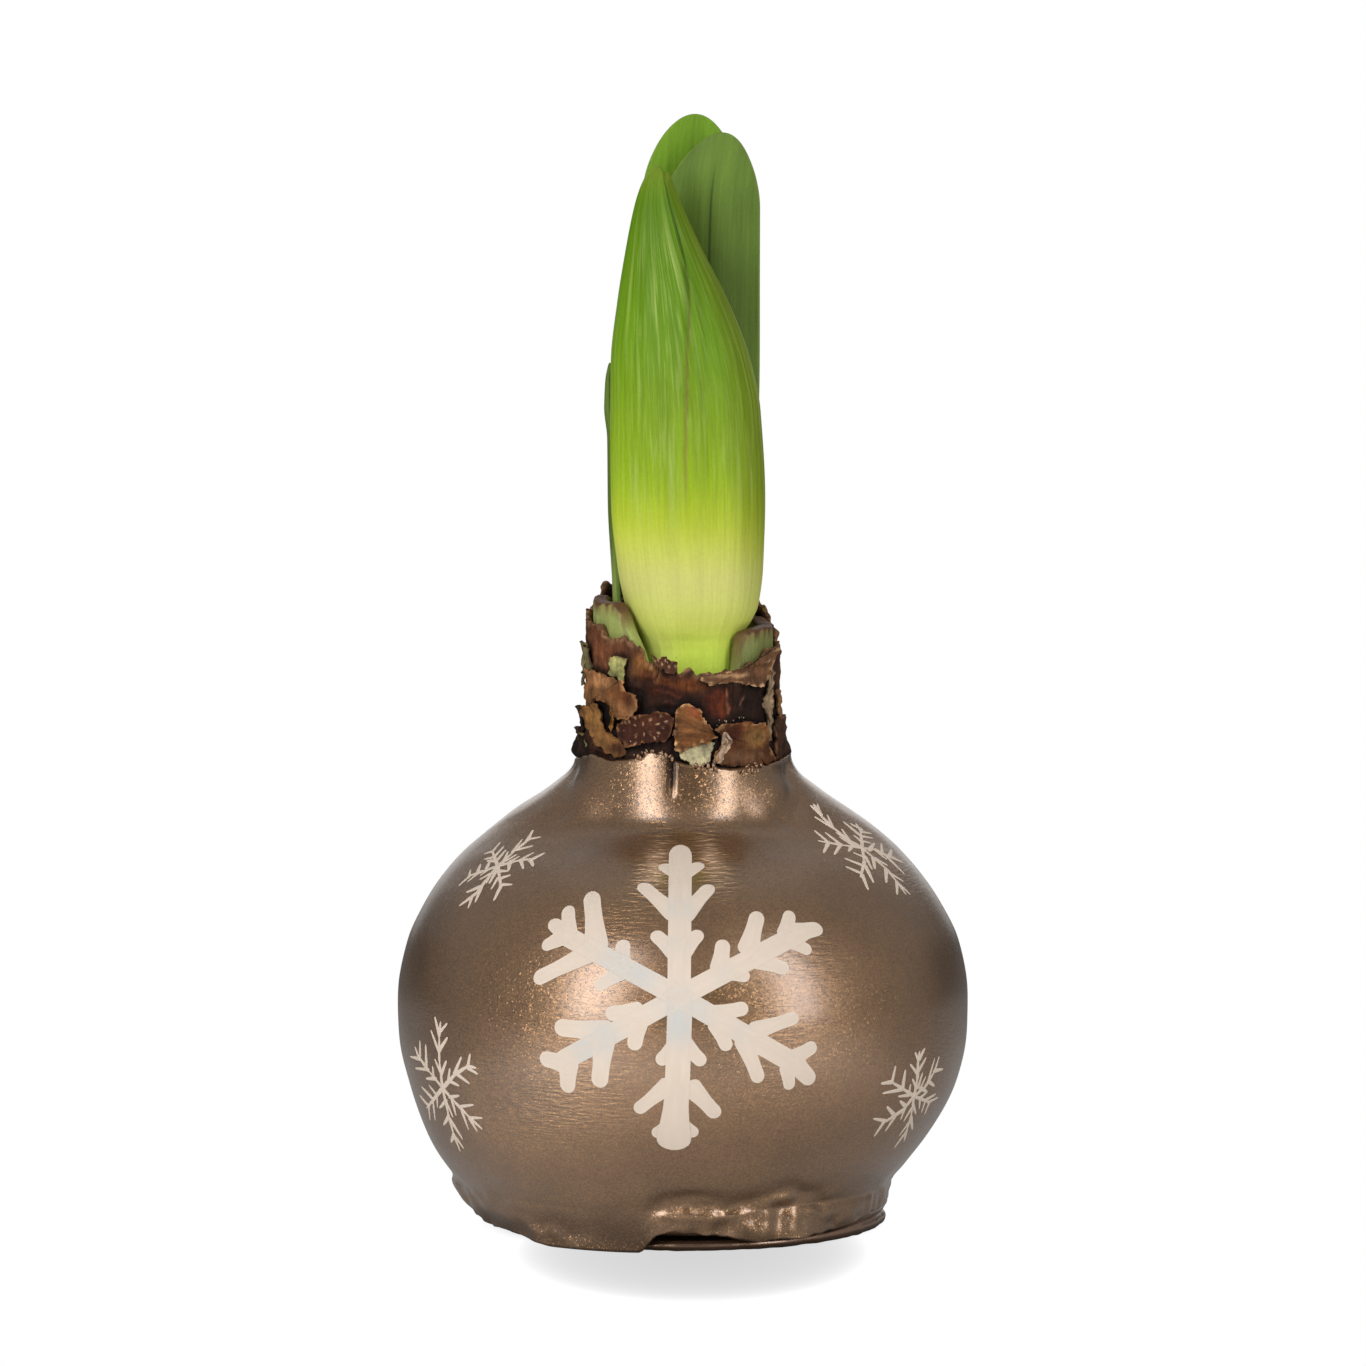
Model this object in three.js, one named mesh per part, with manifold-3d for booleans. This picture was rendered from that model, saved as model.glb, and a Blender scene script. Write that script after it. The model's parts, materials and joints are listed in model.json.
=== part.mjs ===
// Amaryllis bulb dipped in bronze wax: it stands on a coil of wire, and a flower bud and three leaves
// rise from its cut neck, inside a collar of dry papery skins.
// Millimetres, +Z up, origin on the floor at the bulb's axis, -Y the front.
// Azimuths are degrees from +X, so the front is -90.
import * as THREE from 'three';
import { mergeVertices } from 'three/addons/utils/BufferGeometryUtils.js';
import Module from 'manifold-3d';

const clearance = 0.3; // between neighbouring solids

const wax = {
  wall: 2.0,
  bodySteps: 14,
  leanLeft: 1.7, // how far the body leans to the left just above its foot
  leanTop: 24,
  rimHeight: 73.2,
  rimRadius: 17.8,
  rimWall: 1.4,
  rimWave: 0.45,
  soleRadius: 22.5,
  grooveCeiling: 4.75, // roof of the ring-shaped hollow that the coil lies in
  skirtWall: 0.9,
  edgeRound: 0.1,
  turns: 56,
};

// From the sole's edge up to the roof of the coil's hollow: further out, height
const soleEdge = [[0, 0], [1.2, 0.7], [2.2, 2.6], [3.6, 4.4], [5.2, wax.grooveCeiling]];

// Half of the wax body's outline from just above the hem to the neck: radius, height
const waxOutline = [
  [34.2, 6.9], [37.5, 10.8], [40.0, 14.6], [43.4, 22.3], [45.1, 30.0], [45.3, 36.5], [43.7, 45.3],
  [41.9, 49.1], [39.7, 52.9], [36.7, 56.8], [32.8, 60.6], [28.2, 64.4], [22.5, 68.2], [19.3, 70.6],
];

// The wax hem round the foot: azimuth, height of its lower edge, outer radius there
const waxHem = [
  [-165, 1.3, 31.6], [-143, 1.4, 32.4], [-127, 0.25, 33.3], [-110, 0.25, 33.2], [-97, 0.9, 32.8],
  [-85, 2.3, 32.6], [-64, 2.4, 32.7], [-46, 2.6, 32.8], [-27, 4.3, 32.0], [-5, 4.45, 31.5],
  [40, 4.0, 31.7], [75, 2.6, 32.4], [110, 1.5, 32.5], [150, 2.4, 32.0], [180, 1.6, 31.5],
];

// Thick folds where the wax ran together above the hem: azimuth, height, how far they stand out,
// half width in degrees, half height
const waxFolds = [
  [-84, 4.6, 1.0, 9, 2.4], [-60, 5.4, 1.3, 11, 3.0], [-174, 3.6, 0.8, 10, 1.8], [-138, 2.4, 0.6, 9, 1.6],
  [28, 5.6, 0.7, 14, 2.0], [84, 4.8, 1.0, 12, 2.4], [128, 3.4, 0.7, 10, 2.0],
];

// Floor of the hollow that the bulb sits in: radius, height
const hollowFloor = [[0, 2.4], [15, 2.4], [20, 3.8], [24.5, 6.0], [29, 7.0]];

const coil = {
  wireRadius: 0.8,
  radius: 30.2,
  oval: 0.9, // further out at the right, nearer in at the left
  startAzimuth: -4,
  turnCount: 1.42,
  steps: 76,
  sides: 8,
};

// Height of the wire's middle: share of the way along it, height
const coilHeights = [[0, 0.8], [0.34, 0.8], [0.5, 1.6], [0.7, 3.0], [0.82, 3.25], [1, 3.55]];

const neck = {
  radius: 14.2,
  scaleWall: 2.4,
  floor: 84,
  shoulder: 69.7,
  turns: 48,
};

// Cut ends of the neck's scales: azimuth, height
const scaleRim = [
  [-155, 98.6], [-135, 97.4], [-119, 90.5], [-105, 87.2], [-90, 86.4], [-60, 86.8], [-40, 91.5],
  [-20, 94.2], [10, 94.8], [50, 96.2], [90, 96.8], [135, 98.0], [180, 98.9],
];

const skins = {
  outer: 15.35,
  footRadius: 16.1,
  footHeight: 70.1,
  turns: 44,
  raggedness: 0.9,
  seed: 5,
};

// Torn upper edge of the dry skins: azimuth, height
const skinRim = [
  [-175, 95.6], [-150, 95.2], [-126, 93.2], [-112, 91.4], [-99, 89.4], [-84, 88.4], [-66, 87.6],
  [-50, 87.0], [-30, 88.6], [-12, 90.2], [5, 92.0], [24, 95.5], [40, 98.4], [62, 97.2], [90, 98.6],
  [118, 98.4], [142, 100.8], [162, 97.6],
];

const flake = { thickness: 0.8, sink: 0.15, turns: 8, rings: 5 };

// Loose flakes at the front: azimuth, foot height, tip height, width, how far the tip stands off
const frontFlakes = [
  [177, 74.6, 80.5, 6.0, 1.9], [-160, 74.5, 86.5, 9.0, 1.0], [-140, 75.0, 87.0, 8.0, 1.5],
  [-124, 80.0, 90.0, 6.0, 0.9], [-112, 74.5, 80.8, 9.5, 1.3], [-88, 74.6, 83.4, 7.6, 1.8],
  [-67, 74.8, 80.6, 8.5, 1.3], [-45, 74.6, 80.0, 7.5, 1.6], [-28, 76.0, 87.0, 5.0, 0.9],
  [-8, 74.6, 79.6, 5.5, 1.9],
];

// Those round the back are drawn between these limits
const backFlakes = {
  count: 9,
  azimuth: [14, 166],
  foot: [74.6, 80],
  rise: [7, 12],
  width: [5, 9],
  lift: [0.6, 1.5],
  seed: 11,
};

// Flower bud in its spathe, and the scape below it: height, left edge, right edge, half depth
const budRows = [
  [74.0, -5.9, 8.9, 5.1], [84.0, -5.9, 8.9, 5.2], [91.0, -6.0, 9.0, 5.3], [92.6, -6.4, 9.2, 5.6],
  [94.2, -7.2, 9.8, 6.4], [95.8, -8.0, 10.8, 7.2], [98.1, -9.0, 11.8, 8.0], [104.4, -10.3, 12.6, 8.9],
  [114.6, -11.3, 12.9, 9.4], [128.7, -11.4, 12.1, 9.2], [136.5, -11.3, 10.5, 8.6],
  [145.9, -10.3, 7.0, 7.0], [154.5, -8.9, 2.7, 4.9], [161.0, -7.5, -0.3, 3.3], [164.6, -6.2, -1.7, 2.1],
  [166.4, -4.9, -2.4, 1.0],
];
const bud = {
  y: -4.6,
  tip: 166.9,
  shoulder: [91, 104.4],
  keel: 0.8,
  keelAzimuth: -84,
  turns: 28,
  rings: 26,
};

// Leaves. Each row: height, x and y of the midrib, half width, how far the edges bend back from it
const leafTipLength = 12;
const leaves = {
  leaf_right: {
    facing: -90, tip: 172.2, thickness: 1.5, turns: 14, rings: 18,
    rows: [
      [74, 3.0, 2.6, 5.7, 2.3], [90, 3.0, 3.0, 5.8, 2.3], [105, 3.4, 5.9, 7.0, 2.8],
      [118, 3.7, 7.0, 8.0, 3.2], [134, 4.0, 6.6, 8.2, 3.4], [150, 4.1, 4.9, 8.1, 3.2],
      [161, 4.4, 3.7, 7.8, 2.7], [167, 5.1, 3.2, 7.1, 2.0], [172.2, 6.2, 2.9, 6.2, 1.2],
    ],
  },
  leaf_back: {
    facing: 90, tip: 175.2, thickness: 1.5, turns: 14, rings: 18,
    rows: [
      [74, 1.4, 9.6, 5.0, 2.0], [90, 1.4, 9.7, 5.2, 2.1], [98, 1.3, 10.3, 6.0, 2.3],
      [108, 1.1, 12.6, 6.9, 2.7], [118, 1.0, 13.5, 7.6, 3.0], [134, 1.0, 13.2, 8.0, 3.2],
      [150, 1.1, 11.4, 7.9, 3.0], [163, 1.3, 9.2, 7.7, 2.5], [170.4, 1.6, 8.0, 7.1, 1.9],
      [175.2, 1.9, 7.3, 6.6, 1.1],
    ],
  },
  leaf_left: {
    facing: 180, tip: 136.0, thickness: 1.1, turns: 12, rings: 14,
    rows: [
      [74, -10.3, 1.8, 3.9, 0.9], [90, -10.4, 2.2, 3.9, 0.8], [101, -10.7, 3.0, 3.9, 0.5],
      [114, -11.4, 3.6, 4.0, 0.4], [124, -11.5, 3.6, 3.8, 0.4], [129, -12.0, 3.2, 3.5, 0.3],
      [133, -11.9, 2.7, 3.2, 0.3], [136.0, -11.5, 2.3, 3.0, 0.3],
    ],
  },
};

const looks = {
  wax_coat: { color: 0x7d634a, roughness: 0.35, metalness: 0.6 },
  stand_coil: { color: 0x8a6a50, roughness: 0.35, metalness: 0.6 },
  bulb: { color: 0xb4c07a, roughness: 0.6, metalness: 0 },
  tunic: { color: 0x6a4028, roughness: 0.8, metalness: 0 },
  flower_bud: { color: 0x9cc23c, roughness: 0.45, metalness: 0 },
  leaf_right: { color: 0x5c8a38, roughness: 0.5, metalness: 0 },
  leaf_back: { color: 0x6c9a34, roughness: 0.5, metalness: 0 },
  leaf_left: { color: 0x4f8a2c, roughness: 0.5, metalness: 0 },
};

const wasm = await Module();
wasm.setup();

const { clamp, degToRad, euclideanModulo, lerp, smoothstep } = THREE.MathUtils;

// Smooth curve through rows that rise in their first column, read at one value of that column.
// Its slopes are limited, so it never swings past the rows.
function readRows(rows, key) {
  const last = rows.length - 1;
  const at = clamp(key, rows[0][0], rows[last][0]);
  const low = Math.min(last - 1, rows.filter((row) => row[0] <= at).length - 1);
  const span = rows[low + 1][0] - rows[low][0];
  const t = (at - rows[low][0]) / span;
  const secant = (i, column) => (rows[i + 1][column] - rows[i][column]) / (rows[i + 1][0] - rows[i][0]);
  const slope = (i, column) => {
    if (i === 0 || i === last) return secant(Math.min(i, last - 1), column);
    const before = secant(i - 1, column);
    const after = secant(i, column);
    return before * after <= 0 ? 0 : (2 * before * after) / (before + after);
  };
  return rows[0].map((_, column) => {
    const blend = lerp(rows[low][column], rows[low + 1][column], t * t * (3 - 2 * t));
    const leaving = t * (1 - t) * (1 - t) * span * slope(low, column);
    const arriving = t * t * (1 - t) * span * slope(low + 1, column);
    return column === 0 ? at : blend + leaving - arriving;
  });
}

// The same for rows that go round in azimuth
function readRound(rows, azimuth) {
  const loop = [-360, 0, 360].flatMap((turn) => rows.map((row) => [row[0] + turn, ...row.slice(1)]));
  return readRows(loop, euclideanModulo(azimuth + 180, 360) - 180);
}

// Repeatable draws from 0 to 1
function seededDraws(seed) {
  let state = seed;
  return () => {
    state = (state * 16807) % 2147483647;
    return state / 2147483647;
  };
}

// Closed turned form whose section changes with the azimuth: section(azimuth) lists its points as
// [radius, height], upwards on the outer side
function turned(turns, section) {
  const azimuths = Array.from({ length: turns }, (_, i) => (i * 360) / turns - 90);
  const sections = azimuths.map(section);
  const pointCount = sections[0].length;
  const profile = sections[0].map((_, i) => new THREE.Vector2(1, i));
  const geometry = new THREE.LatheGeometry(profile, turns).rotateX(Math.PI / 2);
  const position = geometry.attributes.position;
  for (let i = 0; i < position.count; i += 1) {
    const column = Math.floor(i / pointCount) % turns;
    const [radius, height] = sections[column][i % pointCount];
    const angle = degToRad(azimuths[column]);
    position.setXYZ(i, radius * Math.cos(angle), radius * Math.sin(angle), height);
  }
  return geometry;
}

// Closed grown form: a sphere whose rings, from 0 at the foot to 1 at the tip, are placed by ring and
// turn (radians, anticlockwise from above), as [x, y, z]
function grown(turns, rings, place) {
  const geometry = new THREE.SphereGeometry(1, turns, rings).rotateX(Math.PI / 2);
  const position = geometry.attributes.position;
  for (let i = 0; i < position.count; i += 1) {
    const ring = rings - Math.floor(i / (turns + 1));
    const turn = ((i % (turns + 1)) % turns) * ((2 * Math.PI) / turns);
    position.setXYZ(i, ...place(ring / rings, turn));
  }
  return geometry;
}

// The first ring above the foot keeps the foot's height, so the foot is cut flat
function riseOf(ring, rings) {
  return Math.max(0, (ring * rings - 1) / (rings - 1));
}

function toSolid(geometry) {
  geometry.deleteAttribute('normal');
  geometry.deleteAttribute('uv');
  const merged = mergeVertices(geometry, 1e-3);
  const triangles = [];
  for (let i = 0; i < merged.index.count; i += 3) {
    const [a, b, c] = [0, 1, 2].map((corner) => merged.index.getX(i + corner));
    if (a !== b && b !== c && c !== a) triangles.push(a, b, c);
  }
  return new wasm.Manifold(new wasm.Mesh({
    numProp: 3,
    vertProperties: merged.attributes.position.array,
    triVerts: new Uint32Array(triangles),
  }));
}

function toGeometry(solid) {
  const mesh = solid.getMesh();
  const geometry = new THREE.BufferGeometry();
  geometry.setAttribute('position', new THREE.BufferAttribute(mesh.vertProperties, 3));
  geometry.setIndex(new THREE.BufferAttribute(mesh.triVerts, 1));
  return geometry;
}

// Points moved to the inner side of an outline that runs upwards on its outer side
function inset(outline, distance) {
  return outline.map(([radius, height], i) => {
    const before = outline[Math.max(0, i - 1)];
    const after = outline[Math.min(outline.length - 1, i + 1)];
    const run = Math.hypot(after[0] - before[0], after[1] - before[1]);
    const across = (distance * (after[1] - before[1])) / run;
    const along = (distance * (after[0] - before[0])) / run;
    return [Math.max(0, radius - across), height + along];
  });
}

const waxCurve = new THREE.SplineCurve(waxOutline.map((point) => new THREE.Vector2(...point)));
const waxBody = waxCurve.getPoints(wax.bodySteps).map((point) => [point.x, point.y]);
const hollow = [...hollowFloor, ...inset(waxBody, wax.wall).filter((_, i) => i % 2 === 1)];
const bulbBody = inset(hollow, clearance);

// The body leans to the left towards its foot, outside the sole
function leaned([radius, height], azimuth) {
  const low = 1 - smoothstep(height, wax.grooveCeiling, wax.leanTop);
  const outside = smoothstep(radius, wax.soleRadius, hollowFloor.at(-1)[0]);
  return [radius - wax.leanLeft * low * outside * Math.cos(degToRad(azimuth)), height];
}

// The folds stand out of the foot
function folded([radius, height], azimuth) {
  const out = waxFolds.map(([at, middle, rise, halfWidth, halfHeight]) => {
    const aside = (euclideanModulo(azimuth - at + 180, 360) - 180) / halfWidth;
    return rise * Math.exp(-(aside ** 2) - ((height - middle) / halfHeight) ** 2);
  });
  return [radius + out.reduce((sum, share) => sum + share), height];
}

function waxSection(azimuth) {
  const [, edge, lip] = readRound(waxHem, azimuth);
  const { rimRadius, rimWall, skirtWall, edgeRound } = wax;
  const groove = soleEdge.map(([out, height]) => [wax.soleRadius + out, height]);
  const under = [[0, 0], ...groove, [lip - skirtWall, wax.grooveCeiling]];
  const leanedBody = waxBody.map((point) => leaned(point, azimuth));
  const [footRadius, footHeight] = leanedBody[0];
  const inner = [[lip - skirtWall, edge + edgeRound], [lip - skirtWall / 2, edge]];
  const outer = [[lip, edge + edgeRound], [lip + 3 * edgeRound, edge + 7 * edgeRound],
    [lerp(lip, footRadius, 0.6), lerp(edge, footHeight, 0.6)], ...leanedBody];
  const wave = Math.sin(degToRad(3 * azimuth + 40)) + 0.6 * Math.sin(degToRad(7 * azimuth));
  const top = wax.rimHeight + wax.rimWave * wave;
  const rim = [[rimRadius, top - rimWall / 2], [rimRadius - edgeRound, top - edgeRound],
    [rimRadius - rimWall / 2, top], [rimRadius - rimWall, top - 2 * edgeRound]];
  const inside = hollow.map((point) => leaned(point, azimuth)).reverse();
  return [...under, ...inner, ...outer.map((point) => folded(point, azimuth)), ...rim, ...inside];
}

// Wire from its rounded free end at the right, round the front and left, up to a second turn
function standCoil() {
  const points = Array.from({ length: coil.steps + 1 }, (_, i) => {
    const share = i / coil.steps;
    const angle = degToRad(coil.startAzimuth - 360 * coil.turnCount * share);
    const radius = coil.radius + coil.oval * Math.cos(angle);
    const height = readRows(coilHeights, share)[1];
    return new THREE.Vector3(radius * Math.cos(angle), radius * Math.sin(angle), height);
  });
  const section = new THREE.Shape().absarc(0, 0, coil.wireRadius, 0, 2 * Math.PI);
  const wire = toSolid(new THREE.ExtrudeGeometry(section, {
    extrudePath: new THREE.CatmullRomCurve3(points),
    steps: coil.steps,
    curveSegments: coil.sides / 2,
    bevelEnabled: false,
  }));
  const ends = [points[0], points[coil.steps]].map((end) => toSolid(
    new THREE.SphereGeometry(coil.wireRadius * 0.98, coil.sides, 6).rotateX(Math.PI / 2).translate(...end),
  ));
  return toGeometry(wire.add(ends[0]).add(ends[1]));
}

// A leaf, or with room round it the hole that its foot stands in
function leafForm(leaf, room = 0) {
  const foot = leaf.rows[0][0] - room;
  const [outX, outY] = [Math.cos(degToRad(leaf.facing)), Math.sin(degToRad(leaf.facing))];
  return grown(leaf.turns, leaf.rings, (ring, turn) => {
    const height = lerp(foot, leaf.tip, Math.sin(riseOf(ring, leaf.rings) * Math.PI / 2));
    const [, x, y, fullHalf, bend] = readRows(leaf.rows, height);
    const tipShare = smoothRound((leaf.tip - height) / leafTipLength);
    const open = ring === 0 || ring === 1 ? 0 : 1;
    const side = Math.cos(turn) * (fullHalf * tipShare + room) * open;
    const face = Math.sign(Math.sin(turn)) * Math.sqrt(Math.abs(Math.sin(turn))) * open;
    const thick = leaf.thickness * Math.sqrt(tipShare);
    const out = face * (thick / 2 + room) - bend * (side / fullHalf) ** 2;
    return [x + outY * side + outX * out, y - outX * side + outY * out, height];
  });
}

// 0 at a round tip, rising like a quarter circle to 1
function smoothRound(share) {
  return Math.sqrt(1 - (1 - clamp(share, 0, 1)) ** 2);
}

// The bud on its scape, or with room round it the hole that the scape stands in
function budForm(room = 0) {
  const heights = budRows.map((row) => row[0]);
  return grown(bud.turns, bud.rings, (ring, turn) => {
    const place = riseOf(ring, bud.rings) * (heights.length - 1);
    const low = Math.min(heights.length - 2, Math.floor(place));
    const between = lerp(heights[low], heights[low + 1], place - low);
    const [height, left, right, depth] = readRows(budRows, between);
    const middle = (left + right) / 2;
    const foot = height === heights[0] ? room : 0;
    if (ring === 0) return [middle, bud.y, height - foot];
    if (ring === 1) return [middle, bud.y, bud.tip];
    const across = (right - left) / 2 + room;
    const ridgeShare = Math.max(0, Math.cos(turn - degToRad(bud.keelAzimuth))) ** 40;
    const ridge = bud.keel * ridgeShare * smoothstep(height, bud.shoulder[0], bud.shoulder[1]);
    const outwards = depth + room + ridge;
    return [middle + across * Math.cos(turn), bud.y + outwards * Math.sin(turn), height - foot];
  });
}

// The bulb's body and neck, its cut scales round a hollow that the leaves stand in
function bulbForm() {
  const { radius, scaleWall, floor, shoulder } = neck;
  const inner = radius - scaleWall;
  const section = (azimuth) => {
    const rim = readRound(scaleRim, azimuth)[1];
    const body = bulbBody.map((point) => leaned(point, azimuth));
    const outside = [[radius, shoulder], [radius, floor - 4], [radius, rim - 0.6], [radius - 0.5, rim]];
    const inside = [[inner + 0.4, rim - 0.1], [inner, rim - 0.7], [inner, floor + 0.7], [inner - 0.7, floor]];
    return [...body, ...outside, ...inside, [0, floor]];
  };
  return turned(neck.turns, section);
}

function bulb() {
  const holes = [budForm(clearance), ...Object.values(leaves).map((leaf) => leafForm(leaf, clearance))];
  return toGeometry(holes.reduce((rest, hole) => rest.subtract(toSolid(hole)), toSolid(bulbForm())));
}

// The tube of skins round the neck, its upper edge torn
function skinTube() {
  const draw = seededDraws(skins.seed);
  const tears = Array.from({ length: skins.turns }, () => skins.raggedness * (draw() - 0.5));
  const inner = neck.radius + clearance;
  const { outer, footRadius, footHeight: foot } = skins;
  const section = (azimuth) => {
    const column = Math.round(((azimuth + 90) * skins.turns) / 360);
    const rim = readRound(skinRim, azimuth)[1] + tears[column];
    const outside = [[footRadius, foot], [footRadius - 0.3, foot + 3], [outer, foot + 8], [outer, rim - 0.4]];
    const inside = [[(outer + inner) / 2, rim], [inner, rim - 0.5], [inner, foot], [footRadius, foot]];
    return [...outside, ...inside];
  };
  return turned(skins.turns, section);
}

// A flake grows out of the tube at its foot, and its tip stands off
function flakeForm([azimuth, foot, tip, width, lift]) {
  return grown(flake.turns, flake.rings, (ring, turn) => {
    const rise = riseOf(ring, flake.rings);
    const open = ring === 0 || ring === 1 ? 0 : Math.sqrt(1 - 0.8 * rise * rise);
    const radius = skins.outer - flake.sink + lift * rise * rise
      + (flake.thickness / 2) * Math.sin(turn) * (open > 0 ? 1 : 0);
    const angle = degToRad(azimuth) - (open * width * Math.cos(turn)) / (2 * skins.outer);
    return [radius * Math.cos(angle), radius * Math.sin(angle), lerp(foot, tip, rise)];
  });
}

function tunic() {
  const draw = seededDraws(backFlakes.seed);
  const between = ([low, high]) => lerp(low, high, draw());
  const back = Array.from({ length: backFlakes.count }, (_, i) => {
    const azimuth = lerp(...backFlakes.azimuth, (i + 0.5) / backFlakes.count);
    const foot = between(backFlakes.foot);
    const tip = foot + between(backFlakes.rise);
    return [azimuth, foot, tip, between(backFlakes.width), between(backFlakes.lift)];
  });
  return toGeometry([...frontFlakes, ...back].reduce(
    (whole, row) => whole.add(toSolid(flakeForm(row))),
    toSolid(skinTube()),
  ));
}

const part = new THREE.Group();
part.name = 'waxed_amaryllis_bulb';

function addPiece(name, geometry) {
  geometry.computeVertexNormals();
  const mesh = new THREE.Mesh(geometry, new THREE.MeshStandardMaterial(looks[name]));
  mesh.name = name;
  part.add(mesh);
}

addPiece('wax_coat', turned(wax.turns, waxSection));
addPiece('stand_coil', standCoil());
addPiece('bulb', bulb());
addPiece('tunic', tunic());
addPiece('flower_bud', budForm());
Object.entries(leaves).forEach(([name, leaf]) => addPiece(name, leafForm(leaf)));

export default part;
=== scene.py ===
# Amaryllis bulb dipped in bronze wax, painted with snowflakes and standing on a dipped coil of wire,
# with dry skins, a flower bud and three leaves at its neck.
# Tables are in millimetres and degrees. Azimuths run from +X, so the front is -90.
import json
import math
import random

import bpy
import numpy as np
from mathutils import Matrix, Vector, noise

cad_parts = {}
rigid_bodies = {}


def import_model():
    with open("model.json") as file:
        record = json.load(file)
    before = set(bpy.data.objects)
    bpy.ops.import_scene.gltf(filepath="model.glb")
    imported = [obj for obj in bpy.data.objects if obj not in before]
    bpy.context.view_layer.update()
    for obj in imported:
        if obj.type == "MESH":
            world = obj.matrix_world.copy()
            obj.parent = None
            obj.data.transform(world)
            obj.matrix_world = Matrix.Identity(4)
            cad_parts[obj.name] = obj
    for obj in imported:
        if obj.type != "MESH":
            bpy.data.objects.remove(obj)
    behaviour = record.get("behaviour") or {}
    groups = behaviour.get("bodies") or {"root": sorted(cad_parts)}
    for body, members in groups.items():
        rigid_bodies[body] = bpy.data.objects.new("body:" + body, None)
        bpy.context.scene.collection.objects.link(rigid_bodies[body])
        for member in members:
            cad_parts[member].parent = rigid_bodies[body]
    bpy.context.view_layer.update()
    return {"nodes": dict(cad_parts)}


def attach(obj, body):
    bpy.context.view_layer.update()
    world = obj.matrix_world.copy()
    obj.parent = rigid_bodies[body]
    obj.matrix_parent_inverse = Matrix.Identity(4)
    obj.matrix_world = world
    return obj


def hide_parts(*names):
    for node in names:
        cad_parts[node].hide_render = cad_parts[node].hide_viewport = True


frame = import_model()
print("frame loaded with", len(frame["nodes"]), "solids")

mm = 0.001
body = "root"


# Sums on tables and arrays

def toLinear(values):  # colours as a paint chart gives them, 0 to 255, made linear
    values = np.asarray(values, float) / 255
    return np.where(values < 0.04, values / 12.92, ((values + 0.055) / 1.055) ** 2.4)


def paint(red, green, blue):
    return (*toLinear((red, green, blue)).tolist(), 1.0)


def softStep(value, low, high):
    share = np.clip((np.asarray(value, float) - low) / (high - low), 0, 1)
    return share * share * (3 - 2 * share)


# Smooth curve through rows that rise in their first column, read at any values of that column.
# Its slopes are limited, so it never swings past the rows.
def readRows(rows, keys):
    table = np.array(rows, float)
    keys = np.clip(keys, table[0, 0], table[-1, 0])
    span = np.diff(table[:, 0])
    secant = np.diff(table, axis=0) / span[:, None]
    before, after = secant[:-1], secant[1:]
    rising = before * after > 0
    inner = np.where(rising, 2 * before * after / np.where(rising, before + after, 1), 0)
    slope = np.vstack([secant[:1], inner, secant[-1:]])
    low = np.clip(np.searchsorted(table[:, 0], keys, side="right") - 1, 0, len(span) - 1)
    t = ((keys - table[low, 0]) / span[low])[..., None]
    blend = table[low] + (table[low + 1] - table[low]) * t * t * (3 - 2 * t)
    bend = t * (1 - t) ** 2 * slope[low] - t * t * (1 - t) * slope[low + 1]
    return blend + span[low][..., None] * bend


# The same for rows that go round in azimuth
def readRound(rows, azimuth):
    loop = [[row[0] + turn, *row[1:]] for turn in (-360, 0, 360) for row in rows]
    return readRows(loop, (np.asarray(azimuth, float) + 180) % 360 - 180)


# Smooth noise from about -1 to 1, its lumps some millimetres across; squeeze makes them flatter or thinner
def lumps(points, size, seed, squeeze=(1, 1, 1)):
    shift = Vector((seed * 7.13, seed * 3.71, seed * 5.37))
    flat = (np.asarray(points, float) * np.array(squeeze) / size).reshape(-1, 3).tolist()
    values = [noise.noise(Vector(point) + shift) for point in flat]
    return np.array(values).reshape(np.shape(points)[:-1])


def layered(points, rows):  # rows of strength, size, seed and squeeze, added up
    return sum(strength * lumps(points, *row) for strength, *row in rows)


def bell(away, half):  # 1 at no distance, and fading over a half width
    return np.exp(-(away / half) ** 2)


def towards(tint, colour, share):  # tints moved a share of the way to a colour
    return tint + (np.array(colour) - tint) * np.asarray(share)[..., None]


def pointsOf(x, y, z):
    return np.stack(np.broadcast_arrays(x, y, z), axis=-1)


def roundPoints(azimuth, radius, height):
    angle = np.radians(azimuth)
    return pointsOf(radius * np.cos(angle), radius * np.sin(angle), height)


def fromBack(turns):  # azimuths that start at the back, so that nothing joins at the front
    return 90 + np.arange(turns) * 360 / turns


def aside(azimuth, middle):  # how far an azimuth is from another, -180 to 180
    return (np.asarray(azimuth, float) - middle + 180) % 360 - 180


def sector(azimuth, middle, near, far):  # 1 up to near degrees from a middle, and 0 beyond far degrees
    return softStep(np.abs(aside(azimuth, middle)), far, near)


# Rings from pairs of radius and height, each a number or a value for every azimuth
def asRings(pairs, azimuth):
    return np.array([np.broadcast_arrays(radius, height, azimuth)[:2] for radius, height in pairs], float)


def runOf(points):  # how far along a path each of its points is
    return np.concatenate([[0], np.cumsum(np.linalg.norm(np.diff(points, axis=0), axis=1))])


# Points evenly along a smooth path through others
def smoothPath(points, count, soften=0.0):
    points = np.array(points, float)
    along = runOf(points)
    rows = np.column_stack([along, points])
    dense = readRows(rows, np.linspace(0, along[-1], 400))[:, 1:]
    reach = int(soften * 400 / along[-1])
    if reach:
        weights = np.exp(-np.linspace(-2, 2, 2 * reach + 1) ** 2)
        weights = weights / weights.sum()
        padded = np.vstack([2 * dense[0] - dense[reach:0:-1], dense, 2 * dense[-1] - dense[-2:-reach - 2:-1]])
        dense = np.column_stack([np.convolve(column, weights, "valid") for column in padded.T])
    run = runOf(dense)
    even = np.linspace(0, run[-1], count)
    return np.column_stack([np.interp(even, run, column) for column in dense.T])


# Meshes

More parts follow.
